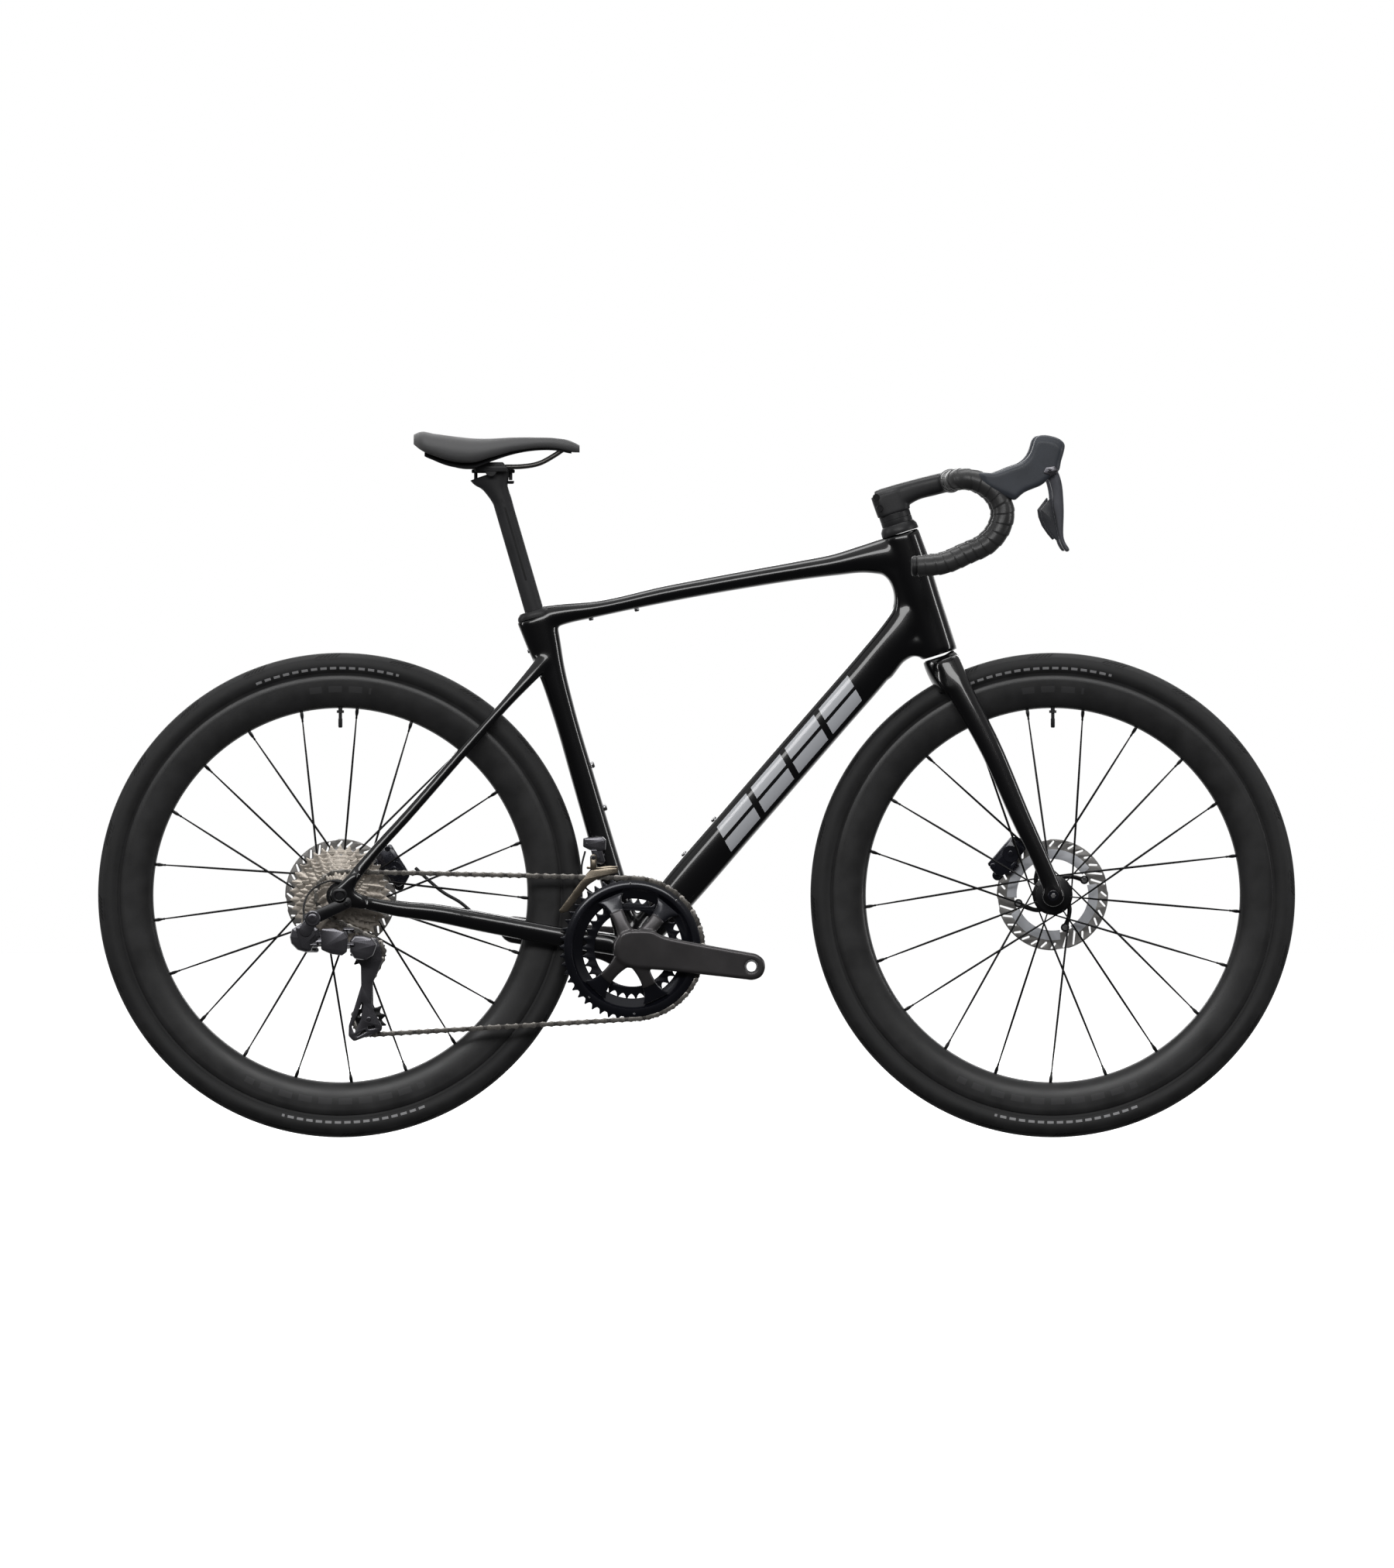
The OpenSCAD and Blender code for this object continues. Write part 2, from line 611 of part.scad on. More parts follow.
module rd_cage_knuckle() color(gunmetal) difference() {
    union() {
        shaft(cage_pivot, 12.5, -86, cage_y - 3);
        slab(-86, -66) strip([-489, 283], [-482, 275], 16);
        at_link(outer_link_pin + link_step) for (z = [-10, 6]) translate([-5, -6, z]) cube([16, 12, 4]);
        at_link(outer_link_pin + link_step) translate([6, -6, -10]) cube([9, 14, 20]);
    }
    at_link(outer_link_pin + link_step) translate([0, 0, -20]) cylinder(r = 2 + fit, h = 40);
    shaft(cage_pivot, 3 + fit, -66, -50);
}
module cage_plate(y0, y1) slab(y0, y1) {
    strip(cage_pivot, guide, 17);
    strip(guide, tension, 13);
    strip(tension, cage_corner, 8);
    strip(tension, tension + [11, -15], 8);
    strip(cage_corner, tension + [11, -15], 6);
    translate(tension) circle(r = 9);
}
pulley_r = 3;
module rd_cage() color(satin_black) {
    cage_plate(cage_y - 1.4, cage_y + 1.4);
    slab(chain_y + 5.6, chain_y + 7.6) {
        strip(guide, tension, 13);
        translate(tension) circle(r = 9);
        strip(tension, cage_corner, 8);
    }
    for (c = [guide, tension]) shaft(c, pulley_r, cage_y, chain_y + 7);
    shaft(cage_corner, 2, cage_y, chain_y + 7);
    shaft(cage_pivot, 3, -65, cage_y);
}
module pulley(i) slab(chain_y - 0.9, chain_y + 0.9) difference() {
    translate(centre(i)) teeth(pulley_teeth, valley(i));
    translate(centre(i)) circle(r = pulley_r + fit);
}
module guide_pulley() color(satin_black) pulley(2);
module tension_pulley() color(satin_black) pulley(1);

// ---- Wheels -------------------------------------------------------------

bed_r = rim_r - rim_depth;
rim_half = 14;
rim_wall = 2.2;
// Half outline of the rim's cross-section, as [radius, half width]
function rim_side(s) = [
    for (f = [0:0.1:1]) [bed_r + s + (rim_depth - 8 - s) * f, (rim_half - s) * sqrt(1 - pow(1 - f, 2.4))]
];
module ring(c) on_axle(c) rotate_extrude($fn = 180) children();

module rim(c) color(satin_black) ring(c) difference() {
    union() {
        polygon(concat(rim_side(0), [[rim_r, rim_half], [rim_r, -rim_half]],
            [for (i = [10:-1:1]) [rim_side(0)[i].x, -rim_side(0)[i].y]]));
    }
    polygon(concat(rim_side(rim_wall), [for (i = [10:-1:1]) [rim_side(rim_wall)[i].x, -rim_side(rim_wall)[i].y]]));
    translate([rim_r - 6, -rim_half + 2.5]) square([10, 2 * rim_half - 5]);
}
module tyre(c) color(satin_black) ring(c) difference() {
    translate([tyre_r - tyre_w / 2, 0]) circle(d = tyre_w);
    translate([tyre_r - tyre_w / 2 - 1, 0]) circle(d = tyre_w - 7);
    translate([0, -40]) square([rim_r, 80]);
}
module rear_tyre() tyre(rear_axle);
module front_tyre() tyre(front_axle);
module rear_rim() rim(rear_axle);
module front_rim() rim(front_axle);

// Spokes: every third one is radial, and the others cross in pairs.
// phase is the first nipple's angle, cross_y the flange of the crossed pairs.
flange_r = 27;
function nipple_angle(phase, k) = -(phase + k * 360 / spoke_count);
module spokes(c, phase, radial_k, cross_y, radial_y) color(satin_black)
    for (k = [0:spoke_count - 1]) {
        kind = (k - radial_k + 21) % 3;
        a = nipple_angle(phase, k);
        h = kind == 0 ? a : kind == 1 ? a - 80 : a + 80;
        y = kind == 0 ? radial_y : cross_y + (kind == 1 ? 1.4 : -1.4);
        r = kind == 0 ? flange_r - 5 : flange_r;
        hub_end = [c.x + r * cos(h), y, c.y + r * sin(h)];
        rim_end = [c.x + bed_r * cos(a), 0, c.y + bed_r * sin(a)];
        rod(hub_end, rim_end, spoke_r);
        rod(rim_end + 14 * unit(hub_end - rim_end), rim_end, 2);
    }
module rear_spokes() spokes(rear_axle, 86.6, 8, -16, 30);
module front_spokes() spokes(front_axle, 90.7, 7, 22, -34);

hub_seal_y = [49.5, 70.4];
module rear_hub() color(satin_black) difference() {
    union() {
        shaft(rear_axle, 15, -20, 46);
        shaft(rear_axle, flange_r + 2, -18.5, -13.5);
        shaft(rear_axle, 24, 28, 32);
        shaft(rear_axle, 17, 46, rear_rotor_y - 1);
        shaft(rear_axle, 10, rear_rotor_y - 1, hub_seal_y[1]);
        shaft(rear_axle, 9.8, -70.4, -20);
    }
    shaft(rear_axle, axle_r + fit, -90, 90);
}
module front_hub() color(satin_black) difference() {
    union() {
        shaft(front_axle, 13, -38, 30);
        shaft(front_axle, flange_r + 2, 19.5, 24.5);
        shaft(front_axle, 24, -36, -32);
        shaft(front_axle, 17, 30, front_rotor_y - 1);
        shaft(front_axle, 10, front_rotor_y - 1, hub_seal_y[0]);
        shaft(front_axle, 10, -hub_seal_y[0], -38);
    }
    shaft(front_axle, axle_r + fit, -60, 60);
}

module rotor(c, y) {
    color(steel) slab(y - rotor_t / 2, y + rotor_t / 2) difference() {
        translate(c) circle(r = rotor_r, $fn = 120);
        translate(c) circle(r = 52, $fn = 120);
    }
    color(satin_black) difference() {
        slab(y - 1, y + 1.4) {
            for (a = [25, 109, 194, 291])
                strip(c + 16 * [cos(a), sin(a)], c + 54 * [cos(a), sin(a)], 7);
            translate(c) circle(r = 22);
        }
        shaft(c, 10, y - 5, y + 5);
    }
}
module rear_rotor() rotor(rear_axle, rear_rotor_y);
module front_rotor() rotor(front_axle, front_rotor_y);

module valve(c) color(satin_black) {
    translate([c.x, 0, c.y + bed_r - 28]) cylinder(r = 3, h = 28);
}
module rear_valve() valve(rear_axle);
module front_valve() valve(front_axle);

// ---- Fork and cockpit ---------------------------------------------------

fork_leg = [
    [[358, 25, 684], 14, 20], [[371, 34, 655], 12, 19.5], [[383, 38, 632.7], 10.5, 18],
    [[418.7, 44, 566], 9.5, 16], [[467.5, 49.5, 455], 8.5, 14], [[496.4, 53.5, 392.4], 7, 12.7],
    [[510, 56, 358], 5, 13]
];
crown = [
    [along_steering(-190), 27, 26], [along_steering(-205), 33, 25.5], [along_steering(-222), 42, 23],
    [along_steering(-240), 47, 18]
];
module fork() color(gloss_black) difference() {
    union() {
        on_steering() translate([0, 0, -192]) cylinder(r = lower_steerer_r, h = 20);
        on_steering() translate([0, 0, -172]) cylinder(r1 = lower_steerer_r, r2 = steerer_r, h = 40);
        on_steering() translate([0, 0, -132]) cylinder(r = steerer_r, h = 188);
        loft(crown);
        loft(fork_leg, n = 14);
        mirror([0, 1, 0]) loft(fork_leg, n = 14);
        shaft(front_axle, 15, 50, 61);
        shaft(front_axle, 15, -61, -50);
    }
    on_axle(front_axle) cylinder(r = tyre_r + 6, h = 43, center = true);
    on_axle(front_axle) cylinder(r = rotor_r + 2, h = 2 * 38, center = true);
    on_axle(front_axle) cylinder(r = 15.5, h = 2 * 50, center = true);
    shaft(front_axle, axle_r, -70, 70);
}
module front_thru_axle() color(satin_black) {
    shaft(front_axle, axle_r, -61, 61);
    shaft(front_axle, 9, 61, 65);
}
module headset_cover() color(satin_black) on_steering() difference() {
    union() {
        translate([0, 0, -3.6]) cylinder(r1 = 27, r2 = 23, h = 13.5);
        translate([0, 0, 9.9]) cylinder(r = 22.5, h = 16);
    }
    translate([0, 0, -10]) cylinder(r = steerer_r, h = 60);
}

bar_centre = [365, 943];
bar_r = 12;
module stem() color(satin_black) difference() {
    union() {
        on_steering() translate([0, 0, 25.9]) cylinder(r = 20, h = 31);
        loft([
            [[261, 0, 911], 20, 15], [[285, 0, 919], 20, 15.5], [[320, 0, 929.5], 18, 14],
            [[345, 0, 937.5], 20, 13.5], [[368, 0, 944], 22, 13]
        ]);
        shaft(bar_centre, 16, -24, 24);
    }
    on_steering() translate([0, 0, 0]) cylinder(r = steerer_r, h = 100);
    shaft(bar_centre, bar_r, -60, 60);
}

// The left half of the bar's centreline; the right half mirrors it
bar_path = [
    [365, 0, 943], [365, 60, 943], [365.5, 120, 943], [367, 160, 943.5], [372, 186, 944.5],
    [384, bar_half - 5, 945.5], [398, bar_half - 2, 943.5], [414, bar_half, 936], [432, bar_half, 918.5],
    [439, bar_half + 1, 900], [433, bar_half + 2, 874], [416, bar_half + 3, 853.5],
    [387, bar_half + 4, 839], [351, bar_half + 5, 824.5], [331, bar_half + 5, 822], [312, bar_half + 5, 821]
];
bar_ends = len(bar_path) - 1;
bar_up = [0.01, 0, 1];
bar_sides = 12;
function bar_points(from) = [for (u = [from:0.5:bar_ends]) curve(bar_path, u)];
module half_bar() tube(bar_points(1), bar_r, bar_sides, bar_up);
module half_tape() sleeve(bar_points(3.5), tape_r, bar_r, bar_sides, bar_up);
module handlebar() color(satin_black) {
    shaft(bar_centre, bar_r, -60, 60);
    half_bar();
    mirror([0, 1, 0]) half_bar();
}
module handlebar_tape() color(satin_black) {
    half_tape();
    mirror([0, 1, 0]) half_tape();
    for (s = [-1, 1])
        translate([307, s * (bar_half + 5), 821]) rotate([0, 90, 0]) cylinder(r = 14, h = 5);
}

hood = [
    [[412, bar_half, 934], 13, 16], [[440, bar_half, 938], 16, 20], [[466, bar_half, 948], 15, 19],
    [[487, bar_half, 958], 14, 19], [[501, bar_half - 1, 972], 13.5, 19.5], [[507, bar_half - 3, 988], 12.5, 18],
    [[508.5, bar_half - 5, 1001], 9, 12]
];
module hood_body() {
    difference() {
        loft(hood, n = 14);
        translate([488, bar_half - 7, 900]) cube([60, 14, 68]);
    }
    shaft(lever_pivot, 2.5, bar_half - 9, bar_half + 9);
}
module lever_hoods() color(rubber_grey) {
    hood_body();
    mirror([0, 1, 0]) hood_body();
}

// Brake lever, drawn in the side plane
module lever_outline() {
    polygon([
        [497, 957], [506, 966], [515, 959], [520.5, 946], [523, 930], [523.7, 865], [526, 856], [532.5, 844],
        [530, 841], [525.5, 843], [519.5, 855], [516.5, 868], [509.5, 905], [508, 929], [503.6, 947]
    ]);
    translate(lever_pivot) circle(r = 7);
}
module brake_lever() difference() {
    slab(bar_half - 5, bar_half + 5) lever_outline();
    shaft(lever_pivot, 2.5 + fit, bar_half - 20, bar_half + 20);
    slab(bar_half - 3.4, bar_half + 6) polygon([
        [499, 925], [511.9, 925], [515.8, 905], [519.2, 880], [519.6, 864], [505, 864]
    ]);
}
module left_brake_lever() color(gunmetal) brake_lever();
module right_brake_lever() color(gunmetal) mirror([0, 1, 0]) brake_lever();

// Two shift buttons behind the lever's blade
module button_front() slab(bar_half - 1.9, bar_half + 4.4) polygon([
    [508.5, 924], [511.3, 924], [515.2, 905], [518.6, 880], [519, 865], [516.8, 866], [512.5, 885], [508.8, 905]
]);
module button_rear() slab(bar_half - 1.9, bar_half + 4.4) polygon([
    [506.4, 920], [491.8, 901], [497, 880], [513.8, 857], [516.6, 861], [511.6, 885], [508, 905]
]);
module left_shift_button_front() color(rubber_grey) button_front();
module left_shift_button_rear() color(rubber_grey) button_rear();
module right_shift_button_front() color(rubber_grey) mirror([0, 1, 0]) button_front();
module right_shift_button_rear() color(rubber_grey) mirror([0, 1, 0]) button_rear();

// ---- Seat ---------------------------------------------------------------

post_low = 300;
post_top = 700;
module seatpost() color(satin_black) {
    difference() {
        on_seat_tube() translate([0, 0, post_low]) cylinder(r = post_r, h = post_top - post_low);
        on_seat_tube() translate([0, 0, post_low - 1]) cylinder(r = post_r - 3, h = 300);
    }
    difference() {
        loft([
            [along_seat(672), 13.4, 13.4], [along_seat(686), 14, 17], [[-294, 0, 946], 14.5, 27],
            [[-295, 0, 953], 14, 30]
        ]);
        shaft([-295, 957.5], 8, -30, 30);
    }
}
module battery() color(gunmetal) on_seat_tube() translate([0, 0, 310]) cylinder(r = 8.5, h = 160);

rail_z = 963;
rail_r = 3.5;
rail_y = 22;
module saddle_clamp() color(satin_black) {
    difference() {
        union() {
            shaft([-295, 957.5], 8, -28, 28);
            translate([-320, -30, 955]) cube([50, 60, 9]);
            for (s = [-1, 1]) translate([-320, s * rail_y - 7, 957]) cube([50, 14, 13]);
        }
        for (s = [-1, 1])
            translate([-330, s * rail_y, rail_z]) rotate([0, 90, 0]) cylinder(r = rail_r + fit, h = 80);
        for (s = [-1, 1])
            translate([-330, s * rail_y - (s < 0 ? 20 : 1), rail_z - 0.5]) cube([80, 21, 1]);
    }
    for (x = [-317, -267]) rod([x, 0, 939], [x, 0, 956], 4);
}
module saddle() color(rubber_grey) loft([
    [[-407, 0, 1002], 30, 7], [[-398, 0, 1001], 52, 11], [[-376, 0, 996], 66, 14], [[-345, 0, 989], 71, 16],
    [[-320, 0, 988], 69, 15], [[-295, 0, 992], 58, 12], [[-265, 0, 996], 42, 9.5], [[-235, 0, 998], 30, 8],
    [[-200, 0, 997], 22, 7.5], [[-178, 0, 991.5], 19, 7.5], [[-166.5, 0, 989], 13, 4.5]
], e = 2.5, n = 20);
rail_path = [
    [-388, 26, 991], [-372, 25, 979], [-350, 23, 967], [-335, rail_y, rail_z], [-318, rail_y, rail_z],
    [-272, rail_y, rail_z], [-252, rail_y, rail_z], [-226, 20, 968], [-205, 15, 980], [-190, 11, 990]
];
module saddle_rails() color(warm_grey) for (s = [0, 1]) mirror([0, s, 0]) {
    rod([-340, rail_y, rail_z], [-250, rail_y, rail_z], rail_r);
    tube([rail_path[0], rail_path[1], rail_path[2], [-340, rail_y, rail_z]], rail_r, 10);
    tube([[-250, rail_y, rail_z], rail_path[7], rail_path[8], rail_path[9]], rail_r, 10);
}

// ---- One line for each node ---------------------------------------------

frame();
derailleur_hanger();
seat_clamp();
frame_bearings();
accessory_bolts();
rear_brake_caliper();
frame_cables();
rear_thru_axle();
front_derailleur_body();
chain();
rear_derailleur_body();
rear_tyre();
rear_rim();
rear_spokes();
rear_hub();
rear_rotor();
rear_valve();
cassette_sprockets();
freehub_body();
outer_chainring();
inner_chainring();
right_crank_arm();
left_crank_arm();
crank_spindle();
fork();
headset_cover();
stem();
handlebar();
handlebar_tape();
lever_hoods();
front_brake_caliper();
front_thru_axle();
front_tyre();
front_rim();
front_spokes();
front_hub();
front_rotor();
front_valve();
right_brake_lever();
left_brake_lever();
right_shift_button_front();
right_shift_button_rear();
left_shift_button_front();
left_shift_button_rear();
rd_outer_link();
rd_inner_link();
rd_cage_knuckle();
rd_cage();
guide_pulley();
tension_pulley();
fd_cage();
front_inner_pad();
front_outer_pad();
rear_inner_pad();
rear_outer_pad();
seatpost();
battery();
saddle_clamp();
saddle();
saddle_rails();
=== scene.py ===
"""Road bicycle: the looks of every piece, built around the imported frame.

Lengths are in millimetres until make() turns them into metres. +X is forward,
+Y to the rider's left, +Z up; the chain is on the -Y side.
"""

import math

import bmesh
import bpy
import numpy as np
from mathutils import Matrix, Vector


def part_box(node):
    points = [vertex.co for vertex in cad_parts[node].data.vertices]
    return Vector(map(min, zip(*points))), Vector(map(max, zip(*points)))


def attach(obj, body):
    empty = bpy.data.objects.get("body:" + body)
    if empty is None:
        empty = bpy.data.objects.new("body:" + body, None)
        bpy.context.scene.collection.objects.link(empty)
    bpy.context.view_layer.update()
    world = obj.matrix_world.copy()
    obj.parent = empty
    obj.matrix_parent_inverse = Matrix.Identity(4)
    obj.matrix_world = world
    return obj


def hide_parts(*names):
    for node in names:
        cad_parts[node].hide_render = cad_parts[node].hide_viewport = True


bl_info = {
    "name": "Road bicycle",
    "version": (1, 0, 0),
    "blender": (4, 5, 0),
    "location": "View3D > Sidebar > Road bicycle",
    "description": "Builds a disc-brake road bicycle piece by piece around its frame",
    "category": "Add Mesh",
}

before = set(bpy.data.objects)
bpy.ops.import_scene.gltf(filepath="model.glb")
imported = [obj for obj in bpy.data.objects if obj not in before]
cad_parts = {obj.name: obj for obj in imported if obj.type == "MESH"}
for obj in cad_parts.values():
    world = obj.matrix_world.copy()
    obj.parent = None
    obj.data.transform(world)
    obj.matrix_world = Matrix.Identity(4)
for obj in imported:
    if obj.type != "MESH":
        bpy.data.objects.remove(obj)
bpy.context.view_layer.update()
MM = 0.001


def node_centre(name):
    """The middle of a frame node, in millimetres."""
    low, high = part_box(name)
    return (low + high) / 2 / MM


def node_radius(name):
    """Half of a wheel-like node's length along X, in millimetres."""
    low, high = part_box(name)
    return (high.x - low.x) / 2 / MM


REAR = np.array([node_centre("rear_hub").x, node_centre("rear_hub").z])
FRONT = np.array([node_centre("front_hub").x, node_centre("front_hub").z])
BB = np.array([node_centre("crank_spindle").x, node_centre("crank_spindle").z])
TYRE_R = node_radius("rear_tyre")
RIM_R = node_radius("rear_rim")
HEAD_TILT = math.radians(17.7)
SEAT_TILT = math.radians(16.25)
STEER_TOP = np.array([291.6, 871.7])
CRANK_DIP = math.radians(8.5)
PITCH = 12.7


# ---- Lines and skins, in millimetres --------------------------------------


def along(origin, tilt, s):
    """The point at distance s up an axis that leans back by tilt."""
    return [origin[0] - s * math.sin(tilt), 0.0, origin[1] + s * math.cos(tilt)]


def along_seat(s):
    """A point up the seat tube from the bottom bracket."""
    return along(BB, SEAT_TILT, s)


def along_steering(s):
    """A point up the steering axis from its top."""
    return along(STEER_TOP, HEAD_TILT, s)


def turn(c, r, degrees):
    """The point at radius r and an angle about c, in the side plane."""
    a = math.radians(degrees)
    return np.array([c[0] + r * math.cos(a), c[1] + r * math.sin(a)])


def spline(rows, spacing):
    """Smooth rows along their path. A row is a point, followed by any sizes."""
    p = np.asarray(rows, float)
    d = np.linalg.norm(np.diff(p[:, :3], axis=0), axis=1)
    t = np.concatenate([[0], np.cumsum(d)])
    slope = np.diff(p, axis=0) / d[:, None]
    m = np.empty_like(p)
    m[0], m[-1] = slope[0], slope[-1]
    before, after = d[:-1, None], d[1:, None]
    m[1:-1] = (slope[:-1] * after + slope[1:] * before) / (before + after)
    s = np.linspace(0, t[-1], max(2, round(t[-1] / spacing)) + 1)
    i = np.clip(np.searchsorted(t, s, side="right") - 1, 0, len(d) - 1)
    h = d[i][:, None]
    u = ((s - t[i]) / d[i])[:, None]
    start = (2 * u**3 - 3 * u**2 + 1) * p[i] + (u**3 - 2 * u**2 + u) * h * m[i]
    finish = (3 * u**2 - 2 * u**3) * p[i + 1] + (u**3 - u**2) * h * m[i + 1]
    return start + finish


def carried_axes(centre, ref):
    """Two directions across a path, carried along it without twist."""
    tangent = np.gradient(centre, axis=0)
    tangent /= np.linalg.norm(tangent, axis=1)[:, None]
    side = np.empty_like(centre)
    a = np.asarray(ref, float)
    for i, t in enumerate(tangent):
        a = a - (a @ t) * t
        a = a / np.linalg.norm(a)
        side[i] = a
    return side, np.cross(tangent, side)


def grid_faces(rings, sides, closed=False):
    """Quads between rings of points that each close on themselves."""
    i = np.arange(rings if closed else rings - 1)[:, None] * sides
    j = np.arange(sides)[None, :]
    k = (j + 1) % sides
    top = (i + sides) % (rings * sides)
    return np.stack([i + j, i + k, top + k, top + j], axis=-1).reshape(-1, 4).tolist()


def capped(rings_of_points):
    """A closed skin over rings of points, with a flat end at each side."""
    pts = np.asarray(rings_of_points)
    m, n = pts.shape[:2]
    faces = [f[::-1] for f in grid_faces(m, n)]
    faces.append(list(range(n)))
    faces.append(list(range(m * n - 1, (m - 1) * n - 1, -1)))
    return pts.reshape(-1, 3), faces


def loft(rows, spacing=6, sides=32, power=2.3, ref=(0, 1, 0), dome=0):
    """A closed skin through rows of x, y, z, half width and half depth."""
    r = spline(rows, spacing)
    centre, w, h = r[:, :3], r[:, 3], r[:, 4]
    side, up = carried_axes(centre, ref)
    a = np.linspace(0, 2 * math.pi, sides, endpoint=False)
    ca = np.sign(np.cos(a)) * np.abs(np.cos(a)) ** (2 / power)
    sa = np.sign(np.sin(a)) * np.abs(np.sin(a)) ** (2 / power)
    rings = [
        centre[i] + np.outer(ca * w[i], side[i]) + np.outer(sa * h[i], up[i])
        for i in range(len(r))
    ]
    if dome:
        steps = np.radians([80, 62, 42, 22])
        ends = ((0, centre[0] - centre[1]), (-1, centre[-1] - centre[-2]))
        caps = []
        for end, way in ends:
            way = way / np.linalg.norm(way)
            caps.append([
                centre[end] + (rings[end] - centre[end]) * math.cos(b) + way * dome * math.sin(b)
                for b in steps
            ])
        rings = caps[0] + rings + caps[1][::-1]
    return capped(rings)


def tube(points, radius, spacing=3, sides=12, dome=0):
    """A round tube through points."""
    return loft([list(p) + [radius, radius] for p in points], spacing, sides, 2, (0.02, 0.99, 0.1),
        dome)


def turned(outline, c, segments=96, closed=False):
    """A skin turned about the line along Y through c. outline is [radius, y]."""
    o = np.asarray(outline, float)
    a = np.linspace(0, 2 * math.pi, segments, endpoint=False)
    ring = lambda p: np.stack([c[0] + p[0] * np.cos(a), np.full(segments, p[1]),
            c[1] + p[0] * np.sin(a)], 1)
    pts = np.array([ring(p) for p in o])
    return pts.reshape(-1, 3), grid_faces(len(o), segments, closed)


def lathe(outline, c, segments=64, soft=0.6):
    """A solid shaft from [radius, y] steps, with its outer edges eased by soft."""
    pts = [[0, outline[0][1]]]
    for i, (r, y) in enumerate(outline):
        end = i in (0, len(outline) - 1)
        inward = 1 if i == 0 else -1
        if end and r > soft:
            pts += [[r - soft, y], [r, y + inward * soft]] if i == 0 else [[r, y - soft],
                [r - soft, y]]
        else:
            pts.append([r, y])
    pts.append([0, outline[-1][1]])
    return turned(pts, c, segments)


def rounded(points, radius, steps=5):
    """A closed outline with its corners rounded; radius may be one a corner."""
    p = [np.asarray(q, float) for q in points]
    n = len(p)
    radii = [radius] * n if np.isscalar(radius) else list(radius)
    out = []
    for i in range(n):
        a, b, c = p[i - 1], p[i], p[(i + 1) % n]
        u, v = (a - b) / np.linalg.norm(a - b), (c - b) / np.linalg.norm(c - b)
        half = math.acos(max(-1, min(1, float(u @ v)))) / 2
        reach = min(radii[i] / max(math.tan(half), 1e-6), 0.49 * np.linalg.norm(a - b),
            0.49 * np.linalg.norm(c - b))
        if reach < 0.02:
            out.append(b)
            continue
        s, e = b + u * reach, b + v * reach
        for k in range(steps + 1):
            t = k / steps
            out.append((1 - t) ** 2 * s + 2 * t * (1 - t) * b + t * t * e)
    return out


def smooth_loop(points, per=6):
    """A smooth closed outline through points."""
    p = np.asarray(points, float)
    n = len(p)
    out = []
    for i in range(n):
        a, b, c, d = p[i - 1], p[i], p[(i + 1) % n], p[(i + 2) % n]
        for t in np.arange(per) / per:
            out.append(0.5 * (2 * b + (c - a) * t + (2 * a - 5 * b + 4 * c - d) * t**2
                    + (3 * b - a - 3 * c + d) * t**3))
    return out


def circle(c, r, steps=32):
    return [turn(c, r, 360 * k / steps) for k in range(steps)]


def strip(p, q, r, r2=None, steps=10):
    """A bar's outline with round ends of radius r at p and r2 at q."""
    p, q = np.asarray(p, float), np.asarray(q, float)
    r2 = r if r2 is None else r2
    a = math.degrees(math.atan2(*(q - p)[::-1]))
    first = [turn(p, r, a + 90 + 180 * k / steps) for k in range(steps + 1)]
    return first + [turn(q, r2, a - 90 + 180 * k / steps) for k in range(steps + 1)]


def teeth(c, count, phase, tip=3.6, root=3.5, steps=6):
    """A sprocket's outline: round valleys for the chain's rollers, and short teeth."""
    r = PITCH / 2 / math.sin(math.pi / count)
    out = []
    for k in range(count):
        valley = phase + 360 * k / count
        half = 180 / count
        for j in range(steps + 1):
            f = (j / steps - 0.5) * 2
            depth = (r - root) + (1 - math.cos(abs(f) * math.pi / 2)) * root * 0.8
            out.append(turn(c, depth, valley + f * half * 0.56))
        out.append(turn(c, r + tip, valley + half * 0.87))
        out.append(turn(c, r + tip, valley + half * 1.13))
    return out


def joined(*skins):
    """Several skins as one."""
    verts, faces, start = [], [], 0
    for v, f in skins:
        verts.append(np.asarray(v, float))
        faces += [[i + start for i in face] for face in f]
        start += len(v)
    return np.concatenate(verts), faces


def mirrored(skin):
    """The same skin on the other side of the bicycle."""
    v, f = skin
    return np.asarray(v) * [1, -1, 1], [face[::-1] for face in f]


def pair(skin):
    return joined(skin, mirrored(skin))


def placed(skin, matrix):
    """A skin moved by a 4 by 4 matrix, in millimetres."""
    v, f = skin
    m = np.array(matrix)
    return np.asarray(v) @ m[:3, :3].T + m[:3, 3], f


# ---- Objects ---------------------------------------------------------------


def finish_mesh(mesh, crease=35):
    """Welds doubles, turns faces outward, and keeps edges sharper than crease sharp."""
    bm = bmesh.new()
    bm.from_mesh(mesh)
    bmesh.ops.remove_doubles(bm, verts=bm.verts, dist=0.000002)
    bmesh.ops.recalc_face_normals(bm, faces=bm.faces)
    limit = math.radians(crease)
    for face in bm.faces:
        face.smooth = True
    for edge in bm.edges:
        edge.smooth = edge.is_manifold and edge.calc_face_angle(0) < limit
    bm.to_mesh(mesh)
    bm.free()


def make(name, skin, crease=35):
    """A mesh object from a skin in millimetres."""
    v, f = skin
    mesh = bpy.data.meshes.new(name)
    mesh.from_pydata((np.asarray(v) * MM).tolist(), [], f)
    finish_mesh(mesh, crease)
    obj = bpy.data.objects.new(name, mesh)
    bpy.context.scene.collection.objects.link(obj)
    return obj


